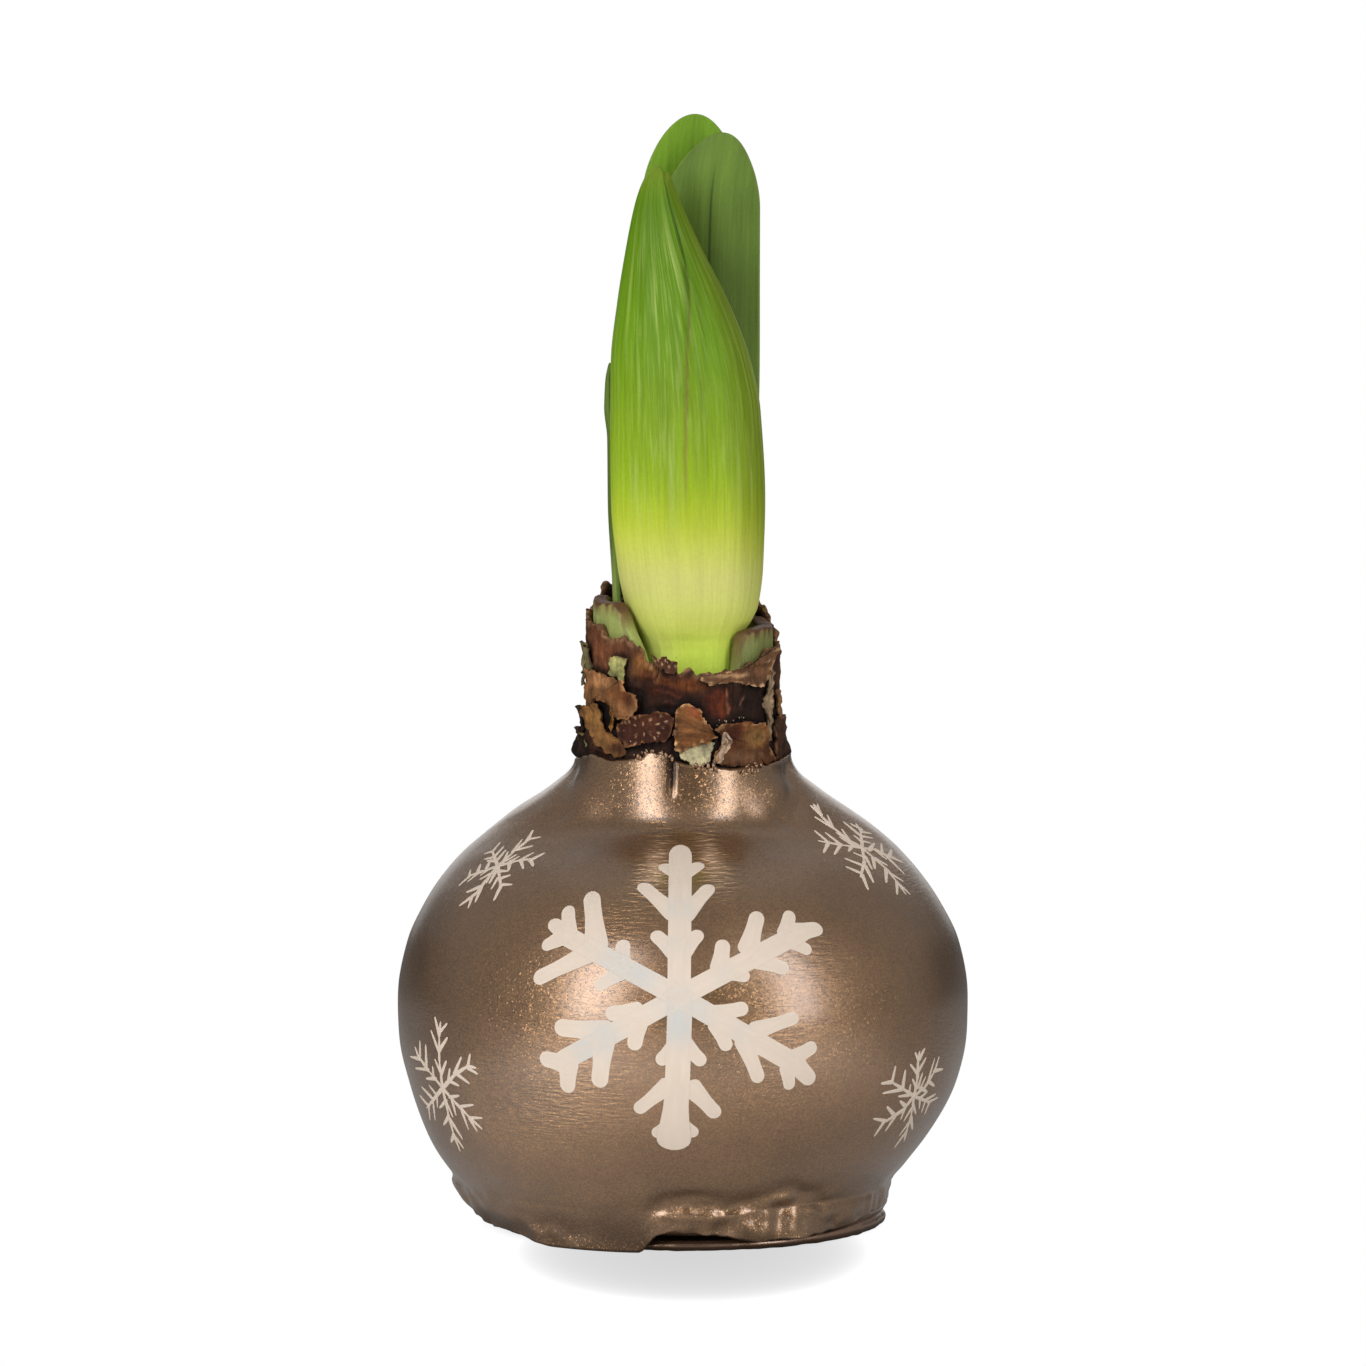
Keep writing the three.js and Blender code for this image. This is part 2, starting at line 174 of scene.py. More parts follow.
def addMesh(name, points, faces, edges=(), **marks):
    mesh = bpy.data.meshes.new(name)
    mesh.from_pydata((np.asarray(points, float) * mm).tolist(), list(edges), faces)
    for key, values in marks.items():
        values = np.asarray(values, np.float32)
        kind, field = {1: ("FLOAT", "value"), 3: ("FLOAT_VECTOR", "vector"),
                       4: ("FLOAT_COLOR", "color")}[values.size // len(points)]
        mark = mesh.attributes.new(key, kind, "POINT")
        mark.data.foreach_set(field, values.ravel())
    mesh.shade_smooth()
    piece = bpy.data.objects.new(name, mesh)
    bpy.context.scene.collection.objects.link(piece)
    return piece


# Closed form through rings of points, [ring][turn], anticlockwise from above. The first and last ring
# are poles, or with ringed the last ring joins the first.
def loftParts(rings, ringed=False, **marks):
    turnCount = rings.shape[1]
    count = len(rings) if ringed else len(rings) - 2
    faces = []
    for ring in range(count if ringed else count - 1):
        low, high = ring * turnCount, (ring + 1) % count * turnCount
        for turn in range(turnCount):
            after = (turn + 1) % turnCount
            faces.append((low + turn, low + after, high + after, high + turn))

    def flat(values):
        values = np.asarray(values, float)
        if ringed:
            return values.reshape(count * turnCount, -1)
        kept = values[1:-1].reshape(count * turnCount, -1)
        return np.vstack([kept, values[0, :1].reshape(1, -1), values[-1, :1].reshape(1, -1)])

    if not ringed:
        foot, tip, top = count * turnCount, count * turnCount + 1, (count - 1) * turnCount
        for turn in range(turnCount):
            after = (turn + 1) % turnCount
            faces.append((foot, after, turn))
            faces.append((tip, top + turn, top + after))
    return flat(rings), faces, {key: flat(values) for key, values in marks.items()}


def joined(name, parts):  # one mesh from several lofts
    starts = np.cumsum([0] + [len(points) for points, _, _ in parts])
    faces = [tuple(corner + int(start) for corner in face)
             for start, (_, partFaces, _) in zip(starts, parts) for face in partFaces]
    marks = {key: np.vstack([part[2][key] for part in parts]) for key in parts[0][2]}
    return addMesh(name, np.vstack([part[0] for part in parts]), faces, **marks)


def loft(name, rings, ringed=False, **marks):
    return joined(name, [loftParts(rings, ringed, **marks)])


def place(piece, material, slot, *nodes):
    if not piece.data.materials:
        piece.data.materials.append(material)
    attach(piece, body)
    if nodes:
        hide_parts(*nodes)
    print("made", piece.name, "with", len(piece.data.polygons), "faces")
    return piece


# Node trees

class Signal:  # a socket that takes part in sums
    def __init__(self, tree, socket):
        self.tree = tree
        self.socket = socket

    def math(self, operation, *values):
        return self.tree.node("ShaderNodeMath", {"operation": operation}, [self, *values])

    def __add__(self, other):
        return self.math("ADD", other)

    def __sub__(self, other):
        return self.math("SUBTRACT", other)

    def __rsub__(self, other):
        return self.math("MULTIPLY_ADD", -1.0, other)

    def __mul__(self, other):
        return self.math("MULTIPLY", other)

    def __truediv__(self, other):
        return self.math("DIVIDE", other)

    def __pow__(self, other):
        return self.math("POWER", other)

    __radd__ = __add__
    __rmul__ = __mul__

    def hypot(self, other):
        return (self * self + other * other).math("SQRT")

    def about(self, middle, spread):  # values about a middle from a noise of 0 to 1
        return self * spread + (middle - spread / 2)

    def step(self, low, high, atLow=0.0, atHigh=1.0):  # a soft step between two values
        sockets = {"Value": self, "From Min": low, "From Max": high, "To Min": atLow, "To Max": atHigh}
        return self.tree.node("ShaderNodeMapRange", {"interpolation_type": "SMOOTHSTEP"}, sockets)


class Tree:
    def __init__(self, tree):
        self.tree = tree
        self.tree.nodes.clear()

    def node(self, kind, settings=None, sockets=(), out=0):
        made = self.tree.nodes.new(kind)
        for key, value in (settings or {}).items():
            setattr(made, key, value)
        for key, value in (sockets.items() if isinstance(sockets, dict) else enumerate(sockets)):
            if isinstance(value, Signal):
                self.tree.links.new(value.socket, made.inputs[key])
            else:
                made.inputs[key].default_value = value
        return Signal(self, made.outputs[out]) if len(made.outputs) else made

    def also(self, signal, out):  # another output of the same node
        return Signal(self, signal.socket.node.outputs[out])

    def vector(self, operation, first, second=None):
        sockets = {0: first}
        if second is not None:
            sockets[3 if operation == "SCALE" else 1] = second
        return self.node("ShaderNodeVectorMath", {"operation": operation}, sockets)


class Finish(Tree):  # a material's nodes
    def __init__(self, name):
        self.material = bpy.data.materials.new(name)
        self.material.use_nodes = True
        super().__init__(self.material.node_tree)
        self.spot = self.node("ShaderNodeTexCoord", out="Object")

    def mark(self, name, out="Vector"):
        return self.node("ShaderNodeAttribute", {"attribute_name": name}, out=out)

    def part(self, vector, axis):
        return self.node("ShaderNodeSeparateXYZ", sockets=[vector], out=axis)

    # Noise from 0 to 1; on Object coordinates its grains are size millimetres across
    def grain(self, size, squeeze=(1, 1, 1), detail=2.0, vector=None, shift=0.0):
        unit = 1.0 if vector else mm
        scale = [value / (size * unit) for value in squeeze]
        sockets = {"Vector": vector or self.spot, "Location": (shift, shift, shift), "Scale": scale}
        at = self.node("ShaderNodeMapping", sockets=sockets)
        return self.node("ShaderNodeTexNoise", sockets={"Vector": at, "Scale": 1.0, "Detail": detail})

    def mix(self, share, first, second, blend="MIX"):
        settings = {"data_type": "RGBA", "blend_type": blend}
        return self.node("ShaderNodeMix", settings, {0: share, 6: first, 7: second}, out=2)

    def shade(self, colour, light):  # a colour made lighter or darker by a number
        grey = self.node("ShaderNodeCombineColor", sockets=[light, light, light])
        return self.mix(1.0, colour, grey, "MULTIPLY")

    def bump(self, height, depth, normal=None):
        sockets = {"Height": height, "Distance": depth * mm, "Strength": 1.0}
        if normal:
            sockets["Normal"] = normal
        return self.node("ShaderNodeBump", sockets=sockets)

    def close(self, **sockets):
        named = {key.replace("_", " "): value for key, value in sockets.items()}
        shader = self.node("ShaderNodeBsdfPrincipled", sockets=named)
        self.node("ShaderNodeOutputMaterial", sockets={"Surface": shader})
        return self.material


class Recipe(Tree):  # a Geometry Nodes tree with named inputs
    def __init__(self, name, **inputs):
        group = bpy.data.node_groups.new(name, "GeometryNodeTree")
        super().__init__(group)
        self.ids = {}
        group.interface.new_socket("Path", in_out="INPUT", socket_type="NodeSocketGeometry")
        for key, kind in inputs.items():
            made = group.interface.new_socket(key, in_out="INPUT", socket_type="NodeSocket" + kind)
            self.ids[key] = made.identifier
        group.interface.new_socket("Piece", in_out="OUTPUT", socket_type="NodeSocketGeometry")
        self.path = self.node("NodeGroupInput")
        self.given = {key: self.also(self.path, key) for key in inputs}

    def mark(self, name, kind="FLOAT"):
        return self.node("GeometryNodeInputNamedAttribute", {"data_type": kind}, {"Name": name})

    def keep(self, geometry, name, value, kind="FLOAT"):
        sockets = {"Geometry": geometry, "Name": name, "Value": value}
        return self.node("GeometryNodeStoreNamedAttribute", {"data_type": kind, "domain": "POINT"}, sockets)

    def line(self, spacing=None):  # the carrier's edges as curves, with even points if a spacing is given
        line = self.node("GeometryNodeMeshToCurve", sockets=[self.path])
        if spacing is None:
            return line
        return self.node("GeometryNodeResampleCurve", {"mode": "LENGTH"}, {"Curve": line, "Length": spacing})

    def circle(self, sides):
        sockets = {"Resolution": sides, "Radius": 1.0}
        return self.node("GeometryNodeCurvePrimitiveCircle", {"mode": "RADIUS"}, sockets)

    def tube(self, line, section, scale):
        sockets = {"Curve": line, "Profile Curve": section, "Scale": scale, "Fill Caps": True}
        return self.node("GeometryNodeCurveToMesh", sockets=sockets)

    def draw(self, least, most, seed):  # random numbers, or random vectors between two corners
        kind, first, out = ("FLOAT_VECTOR", 0, 0) if isinstance(least, tuple) else ("FLOAT", 2, 1)
        sockets = {first: least, first + 1: most, 8: seed}
        return self.node("FunctionNodeRandomValue", {"data_type": kind}, sockets, out)

    # 1 along a line, falling like a quarter circle over a given length at both of its ends
    def roundEnds(self, length):
        run = self.node("GeometryNodeSplineParameter", out="Length")
        whole = self.node("GeometryNodeSplineLength")
        near = run.math("MINIMUM", whole - run) / length
        short = (1 - near).math("MAXIMUM", 0.0)
        return (1.02 - short * short).math("SQRT")

    def end(self, geometry, material, smooth=True):
        sockets = {"Geometry": geometry, "Shade Smooth": smooth}
        shaded = self.node("GeometryNodeSetShadeSmooth", sockets=sockets)
        real = self.node("GeometryNodeRealizeInstances", sockets=[shaded])
        finished = self.node("GeometryNodeSetMaterial", sockets={"Geometry": real, "Material": material})
        self.node("NodeGroupOutput", sockets=[finished])

    def run(self, name, carrier, **values):
        modifier = carrier.modifiers.new(name, "NODES")
        modifier.node_group = self.tree
        for key, value in values.items():
            modifier[self.ids[key]] = value
        evaluated = carrier.evaluated_get(bpy.context.evaluated_depsgraph_get())
        mesh = bpy.data.meshes.new_from_object(evaluated)
        mesh.name = name
        carrier.modifiers.remove(modifier)
        bpy.data.objects.remove(carrier)
        piece = bpy.data.objects.new(name, mesh)
        bpy.context.scene.collection.objects.link(piece)
        return piece


def threadOf(name, lines, **marks):  # lines of points as loose edges, for a recipe to follow
    points = np.vstack(lines)
    starts = np.cumsum([0] + [len(line) for line in lines])
    edges = [(i, i + 1) for start, line in zip(starts, lines) for i in range(start, start + len(line) - 1)]
    return addMesh(name, points, [], edges, **marks)


# Camera, floor and light

studio = {
    "cameraPlace": (0, -937.5, 154.3),
    "cameraTarget": (0, 0, 85.5),
    "lens": 156.8,
    "sensor": 36,
    "white": 1.0,
    "dark": 0.31,
    "backdropWay": (0.97, 0.24),
    "backdropFrom": (0.875, 0.995),
    "flagFrom": (0.2, 0.75),
    "flagRise": (0.05, 0.55),
    "flagDepth": 0.82,
    "boxColour": (1.0, 1.02, 1.07),
    "lightsAim": 60,
    "frontFrom": (-0.97, -0.8),
    "frontDepth": 0.8,
    # underRadius, underLight, farFrom and farFloor paint shade on the floor round the foot and far behind,
    # seen only in reflections; shadowMiddle to footRadius paint the shadow that the camera sees on the floor.
    "underRadius": (30, 41),
    "underLight": 0.06,
    "floorSides": 96,
    "floorRadius": 2500,
    "farFrom": (60, 400),
    "farFloor": 0.35,
    "shadowMiddle": (1.5, -28),
    "shadowReach": (27, 46),
    "shadowDepth": 0.335,
    "footRadius": 33,
}

# Painted pools of light on the floor, seen only in reflections.
floorPools = [  # x, y, reach, added light
    (-110, -140, 170, 1.5), (130, -140, 170, 0.9), (0, -260, 260, 0.4),
]

softBoxes = {  # azimuth, height angle, distance, width, height, strength
    "leftBox": (-126, 18, 1300, 490, 1700, 4.85),
    "rightBox": (-43.5, 18, 1300, 350, 1650, 4.7),
    "topBox": (90, 72, 1100, 900, 700, 0.12),
}


def aimAt(thing, spot, target):
    thing.location = Vector(spot) * mm
    thing.rotation_euler = (Vector(target) - Vector(spot)).to_track_quat("-Z", "Y").to_euler()
    bpy.context.scene.collection.objects.link(thing)


def makeCamera():
    lens = bpy.data.cameras.new("viewCamera")
    lens.lens = studio["lens"]
    lens.sensor_width = studio["sensor"]
    lens.sensor_fit = "HORIZONTAL"
    lens.clip_end = 20
    camera = bpy.data.objects.new("viewCamera", lens)
    aimAt(camera, studio["cameraPlace"], studio["cameraTarget"])
    bpy.context.scene.camera = camera


def makeLights():
    target = (0, 0, studio["lightsAim"])
    for name, (azimuth, rise, distance, width, height, strength) in softBoxes.items():
        lamp = bpy.data.lights.new(name, "AREA")
        lamp.shape = "RECTANGLE"
        lamp.size = width * mm
        lamp.size_y = height * mm
        lamp.color = studio["boxColour"]
        lamp.energy = strength * math.pi * width * height * mm * mm
        out, up = distance * math.cos(math.radians(rise)), distance * math.sin(math.radians(rise))
        aimAt(bpy.data.objects.new(name, lamp), roundPoints(azimuth, out, target[2] + up), target)


def makeWorld():
    world = bpy.data.worlds.new("paleRoom")
    world.use_nodes = True
    bpy.context.scene.world = world
    tree = Tree(world.node_tree)
    way = tree.node("ShaderNodeTexCoord", out="Generated")
    back = tree.node("ShaderNodeSeparateXYZ", sockets=[way], out="Y")
    up = tree.also(back, "Z")
    flag = back.step(*studio["flagFrom"]) * up.step(*studio["flagRise"], studio["flagDepth"], 0.0)
    ahead = back.step(*studio["frontFrom"], studio["frontDepth"], 0.0)
    dark = (1 - flag - ahead) * studio["dark"]
    backY, backZ = studio["backdropWay"]
    room = (back * backY + up * backZ).step(*studio["backdropFrom"], dark, studio["white"])
    seen = tree.node("ShaderNodeLightPath", out="Is Camera Ray")
    light = seen * studio["white"] + (1 - seen) * room
    shader = tree.node("ShaderNodeBackground", sockets={"Color": (1, 1, 1, 1), "Strength": light})
    tree.node("ShaderNodeOutputWorld", sockets={"Surface": shader})
    bpy.context.scene.view_settings.view_transform = "Standard"


# The floor only glows and takes no lamp light. The camera sees it white with a painted shadow under and in
# front of the bulb. Reflections see a dim glow with painted pools of light and painted shade.
def makeFloor():
    sides = studio["floorSides"]
    points = roundPoints(np.arange(sides) * 360 / sides, studio["floorRadius"], 0)
    floor = addMesh("paleFloor", points, [tuple(range(sides))])
    look = Finish("paleFloor")
    (middleX, middleY), (reachX, reachY) = studio["shadowMiddle"], studio["shadowReach"]
    across = look.part(look.spot, "X")
    ahead = look.part(look.spot, "Y")
    sideShare = (across - middleX * mm) / (reachX * mm)
    aheadShare = (ahead - middleY * mm) / (reachY * mm)
    away = sideShare.hypot(aheadShare).math("MINIMUM", 1.0)
    out = across.hypot(ahead)
    foot = out.step(0.8 * studio["footRadius"] * mm, studio["footRadius"] * mm)
    fade = (away * away * 0.35 + away ** 9 * 0.65) * foot
    white = 1 - (1 - fade) * studio["shadowDepth"]
    white = white * studio["white"]
    seen = look.node("ShaderNodeEmission", sockets={"Color": (1, 1, 1, 1), "Strength": white})
    lit = studio["dark"]
    for x, y, reach, strength in floorPools:
        away = (across - x * mm).hypot(ahead - y * mm)
        lit = away.step(0.0, reach * mm, strength, 0.0) + lit
    lit = lit * out.step(*(radius * mm for radius in studio["underRadius"]), studio["underLight"], 1.0)
    lit = lit * ahead.step(*(y * mm for y in studio["farFrom"]), 1.0, studio["farFloor"])
    dim = look.node("ShaderNodeEmission", sockets={"Color": (1, 1, 1, 1), "Strength": lit})
    direct = look.node("ShaderNodeLightPath", out="Is Camera Ray")
    shader = look.node("ShaderNodeMixShader", sockets=[direct, dim, seen])
    look.node("ShaderNodeOutputMaterial", sockets={"Surface": shader})
    floor.data.materials.append(look.material)


makeCamera()
makeLights()
makeWorld()
makeFloor()
print("camera, lights and floor made")


# Wax

waxLook = {
    "colour": paint(151, 113, 74),
    "shadow": paint(139, 102, 66),
    "deep": paint(36, 27, 22),
    "cloudSize": 14,
    "metallic": 0.86,
    "roughness": 0.35,
    "roughSpread": 0.12,
    "polish": 0.06,
    "coat": 1.0,
    "coatRoughness": 0.26,
    "coatIndex": 1.75,
    "lowShade": 0.3,
    "flakeSize": 0.2,
    "flakeTilt": 0.45,
    "flakeShade": 0.5,
    "brushSize": 0.4,
    "brushDepth": 0.21,
    "brushBlur": 0.12,
    "highlightStrength": 1.0,
    "brushed": paint(226, 190, 158),
    "peelSize": 2.4,
    "peelDepth": 0.03,
}


def waxFinish(name, look):
    wax = Finish(name)
    sockets = {"Vector": wax.spot, "Scale": 1 / (look["flakeSize"] * mm)}
    speck = wax.node("ShaderNodeTexVoronoi", sockets=sockets, out="Color")
    shine = wax.part(speck, 0)
    cloud = wax.grain(look["cloudSize"], detail=3.0)
    base = wax.mix(cloud.step(0.3, 0.7), look["shadow"], look["colour"])
    base = wax.shade(base, shine.about(1, look["flakeShade"]))
    patches = wax.mark("brushed", "Fac")
    brush = wax.grain(look["brushSize"], squeeze=(0.16, 0.16, 1.0), detail=1.0).step(0.35, 0.65)
    # Painted shade: the wax is darkened near the foot, less where the hem folds out.
    base = wax.shade(base, 1 - wax.mark("low", "Fac") * look["lowShade"])
    # Painted highlight: where the brushed spots are strongest, the colour is mixed towards a pale one that
    # stands in for light caught by the brush marks.
    base = wax.mix(patches ** 3 * (brush * 0.5 + 0.5) * look["highlightStrength"], base, look["brushed"])
    # Painted shade in the groove over the wire and in the neck's slit: a dark wax colour with no coat.
    deep = wax.mark("deep", "Fac")
    base = wax.mix(deep, base, look["deep"])
    peel = wax.grain(look["peelSize"], detail=1.0, shift=9.0)
    normal = wax.bump(brush * (patches ** 3 * 2.2 + patches), look["brushDepth"])
    normal = wax.bump(peel, look["peelDepth"], normal)
    tilt = wax.vector("SUBTRACT", speck, (0.5, 0.5, 0.5))
    tilt = wax.vector("SCALE", tilt, wax.part(speck, 2).step(0.55, 0.8) * look["flakeTilt"])
    normal = wax.vector("NORMALIZE", wax.vector("ADD", normal, tilt))
    rough = wax.grain(5, shift=2.0).about(look["roughness"], look["roughSpread"])
    rough = rough - wax.mark("polish", "Fac") * look["polish"]
    rough = rough + (patches ** 3 * 1.6 + patches) * look["brushBlur"]
    return wax.close(Base_Color=base, Metallic=look["metallic"], Roughness=rough, Normal=normal,
                     Coat_Weight=(1 - deep) * look["coat"], Coat_Roughness=look["coatRoughness"],
                     Coat_IOR=look["coatIndex"])


wax = {
    "turns": 360,
    "leanLeft": 1.7,  # how far the foot leans left, fading out up to leanTop and in across leanFrom
    "leanTop": 24,
    "leanFrom": (22.5, 29),
    "grooveRoof": 4.75,
    "skirtWall": 0.9,
    "skirtRings": 26,
    "skirtPower": (0.7, 1.8, 5.5),  # where it folds, and the least and most where it doesn't
    "noiseAt": (32, 17),  # radii at which the noise of the hem and of the rim is read
    "hemRound": 0.28,
    "foldOut": 0.7,
    "foldRise": 1.1,
    "bodyRings": 136,
    "neckRings": 12,
    "neckPower": 1.7,
    "rimRadius": 17.2,
    "rimWall": 1.2,
    "rimRound": 0.35,
    "leastInside": 14.9,
    "creased": 0.7,  # the share of a crease's depth by which it goes in, and down
    "lowBelly": 1.0,
    "shrink": 0.132,  # keeps the swellings inside the outline
    "lowFrom": (13, 7),
    "swellFrom": (5, 12),
    "shoulderFrom": (52, 62),
    "neckFrom": (62, 65),
}

waxNoise = {  # rows of strength, size, seed and squeeze
    "hem": [(0.45, 1.6, 5)],
    "rim": [(0.35, 1.5, 8)],
    "crest": [(0.7, 3.0, 17, (1, 1, 0.4))],
    "fold": [(1.1, 3.2, 9)],
    "swell": [(0.22, 17, 3)],
    "low": [(0.3, 4.5, 12)],
    "fringe": [(0.3, 1.9, 18)],
    "shoulder": [(0.3, 9, 14, (1, 1, 1.4)), (0.12, 3.4, 15)],
}

waxOutline = [  # radius, height, from just above the hem to the neck
    [34.2, 6.9], [37.5, 10.8], [40.0, 14.6], [43.4, 22.3], [45.1, 30.0], [45.3, 36.5], [43.7, 45.3],
    [41.9, 49.1], [39.7, 52.9], [36.7, 56.8], [32.8, 60.6], [28.2, 64.4], [22.5, 68.2], [19.3, 70.6],
]

soleOutline = [  # radius, height under the bulb, from the middle to the roof of the groove over the wire
    (0, 0), (5, 0), (10, 0), (15, 0), (19, 0), (21.5, 0), (22.3, 0), (22.5, 0.05), (23.2, 0.3), (23.7, 0.7),
    (24.2, 1.6), (24.7, 2.6), (25.4, 3.6), (26.1, 4.4), (27.7, 4.75),
]

hollowOutline = [  # radius, height inside the coat, from the neck down
    (16.0, 70.5), (18.5, 68.4), (24, 64.6), (30.6, 59.4), (36.5, 53), (40.2, 47), (42.6, 40), (43.1, 32),
    (41.6, 23), (38.2, 15.6), (33.4, 9.8), (29, 7), (24.5, 6), (20, 3.8), (15, 2.4), (7, 2.4), (0, 2.4),
]

frontShoulder = [  # radius, height of the lower shoulder in front
    [45.3, 36.5], [44.8, 41.0], [43.5, 45.3], [41.4, 49.1], [38.5, 52.8], [34.5, 56.4], [30.0, 59.2],
    [25.8, 61.2], [21.5, 62.9], [18.5, 64.2], [14, 66.8], [7, 70.5],
]

frontWall = {  # the neck stands up as a wall above it
    "middle": -92,
    "wide": (32, 92),
    "wallWide": (30, 60),
    "from": (37, 45),
    "to": (74, 76),
    "topRadius": 17.2,
    "topHeight": 75,
    "slope": 0.1,
    "blend": 2.6,
}

# Strong spots also get a painted highlight, by the cube of their strength.
brushedSpots = [  # azimuth, height, half widths in degrees and height, strength of the brushed wrinkles
    (-98.5, 59.5, 6.5, 4.5, 1.0), (-80.5, 60.0, 6.5, 4.5, 1.0), (-122, 24, 16, 6, 0.4),
    (-112, 52, 14, 4, 0.3), (-108, 33, 14, 9, 0.3), (-74, 34, 12, 9, 0.25), (-20, 58, 20, 6, 0.3),
    (-60, 46, 10, 5, 0.25), (-150, 40, 16, 8, 0.15), (60, 40, 30, 12, 0.3), (130, 55, 20, 8, 0.35),
    (100, 25, 24, 8, 0.3), (-30, 30, 12, 6, 0.2),
]

waxHem = [  # azimuth, height of the lower edge, outer radius there
    [-165, 1.3, 31.6], [-143, 1.4, 32.4], [-127, 0.25, 33.3], [-110, 0.25, 33.2], [-102, 0.3, 33.0],
    [-97, 3.0, 32.9], [-93, 3.6, 32.8], [-85, 3.3, 32.6], [-77, 2.7, 32.7], [-70, 1.9, 32.8],
    [-58, 1.9, 32.8], [-46, 2.3, 32.8], [-27, 3.5, 32.1], [-5, 4.2, 31.6], [40, 4.0, 31.7], [75, 2.6, 32.4],
    [110, 1.5, 32.5], [150, 2.4, 32.0], [180, 1.6, 31.5],
]

hemFolds = [  # crest of the folds above the hem: azimuth, height, how far they stand out
    [-176, 6.0, 0.9], [-165, 5.2, 0.8], [-150, 4.4, 0.6], [-143, 3.8, 0.6], [-138, 2.7, 0.5],
    [-130, 1.8, 0.4], [-120, 1.2, 0.2], [-108, 1.2, 0.0], [-101, 3.0, 0.1], [-98, 4.6, 0.5], [-94, 6.0, 0.9],
    [-88, 6.7, 1.15], [-83, 6.7, 1.1], [-79, 5.4, 0.6], [-75, 5.9, 0.8], [-69, 7.2, 1.05], [-64, 7.8, 1.1],
    [-59, 7.0, 1.05], [-54, 5.8, 0.8], [-49, 4.7, 0.4], [-38, 4.9, 0.15], [-20, 5.2, 0.35], [0, 5.6, 0.4],
    [28, 6.2, 0.7], [45, 5.5, 0.3], [68, 5.6, 0.5], [84, 7.0, 1.1], [97, 6.0, 0.5], [113, 4.6, 0.4],
    [128, 5.2, 0.8], [145, 4.2, 0.4], [165, 5.6, 0.7],
]

waxRim = [  # azimuth, height of the rim against the skins
    [-166, 74.1], [-146, 74.9], [-134, 74.4], [-124, 74.5], [-112, 75.2], [-107, 76.0], [-100, 75.6],
    [-96, 75.2], [-92, 74.5], [-84, 73.9], [-73, 73.5], [-59, 73.3], [-43, 73.4], [-30, 73.7], [-16, 74.2],
    [10, 74.4], [38, 73.6], [80, 74.4], [120, 73.8], [160, 73.4],
]

neckSlit = [(-95.2, 75.4), (-95.4, 71.5), (-95.5, 69.6)]  # azimuth, height

waxCreases = [  # lines pressed into the shoulder: depth, half width, then azimuth and height
    (0.9, 1.7, [(-12, 73.5), (-19, 71.6), (-29, 68.0), (-40, 65.4)]), (0.4, 0.45, neckSlit),
    (0.45, 1.5, [(-168, 72.5), (-160, 69.5), (-150, 66.0)]), (0.5, 1.6, [(62, 72.5), (70, 68.5), (84, 65.0)]),
    (0.4, 1.4, [(132, 72.5), (126, 69.0), (120, 66.0)]),
]


def nearLine(azimuth, height, radius, line):  # distance in mm to a line of azimuths and heights
    least = np.full(np.shape(height), 1e3)
    for (fromAzimuth, fromHeight), (toAzimuth, toHeight) in zip(line, line[1:]):
        across = np.radians(aside(azimuth, fromAzimuth)) * radius
        wide = math.radians(toAzimuth - fromAzimuth) * radius
        tall = toHeight - fromHeight
        share = np.clip((across * wide + (height - fromHeight) * tall) / (wide ** 2 + tall ** 2), 0, 1)
        least = np.minimum(least, np.hypot(across - share * wide, height - fromHeight - share * tall))
    return least


def besideLines(azimuth, height, radius, rows):  # rows of strength, half width and line, added up
    return sum(strength * bell(nearLine(azimuth, height, radius, line), half)
               for strength, half, line in rows)


def spread(azimuth, height, rows):  # rows of azimuth, height, both half widths and strength, added up
    return sum(strength * np.exp(-(aside(azimuth, middle) / wide) ** 2 - ((height - level) / high) ** 2)
               for middle, level, wide, high, strength in rows)


def leaned(radius, height, azimuth):
    lean = wax["leanLeft"] * np.cos(np.radians(azimuth))
    low = 1 - softStep(height, wax["grooveRoof"], wax["leanTop"])
    return radius - lean * low * softStep(radius, *wax["leanFrom"])


def outlineReader(rows, soften):
    radius, height = smoothPath(rows, 500, soften=soften).T
    return lambda at: np.interp(at, height, radius)


sideRadius = outlineReader([*waxOutline, [18.0, 72.6], [17.3, 74.6], [17.2, 77]], 4.0)
shoulderRadius = outlineReader(frontShoulder, 4.0)


def frontRadius(height):
    wall = frontWall["topRadius"] + frontWall["slope"] * (frontWall["topHeight"] - height)
    blend = frontWall["blend"]
    return blend * np.logaddexp(shoulderRadius(height) / blend, wall / blend)


def frontShare(height, azimuth):
    return sector(azimuth, frontWall["middle"], *frontWall["wide"]) * softStep(height, *frontWall["from"])


def hollowed(radius, height, azimuth):  # a radius brought in where the front lies lower than the sides
    drop = (sideRadius(height) - frontRadius(height)) * (1 - softStep(height, *frontWall["to"]))
    return radius - frontShare(height, azimuth) * drop


# Rings that follow the body: they lean with its foot and lie lower in front, down to a least radius
def bodyRings(outline, azimuth, least):
    rings = asRings([(leaned(radius, height, azimuth), height) for radius, height in outline], azimuth)
    radius, height = rings.transpose(1, 0, 2)
    rings[:, 0] = np.maximum(hollowed(radius, height, azimuth), np.minimum(radius, least))
    return rings


def underRings(edge, lip):  # the sole, the groove over the wire and the skirt's inner face down to its edge
    roof, wall = wax["grooveRoof"], wax["skirtWall"]
    foot, inner = soleOutline[-1][0], lip - wall
    groove = [(foot + (inner - foot) * share, roof) for share in (0.35, 0.7, 1.0)]
    down = [(inner, roof + (edge - roof) * share) for share in (0.3, 0.6, 0.85, 1)]
    hem = [(inner + wall * (0.5 - 0.5 * math.cos(turn)), edge - wax["hemRound"] * math.sin(turn))
           for turn in (0.8, 1.57, 2.35)]
    return soleOutline + groove + down + hem


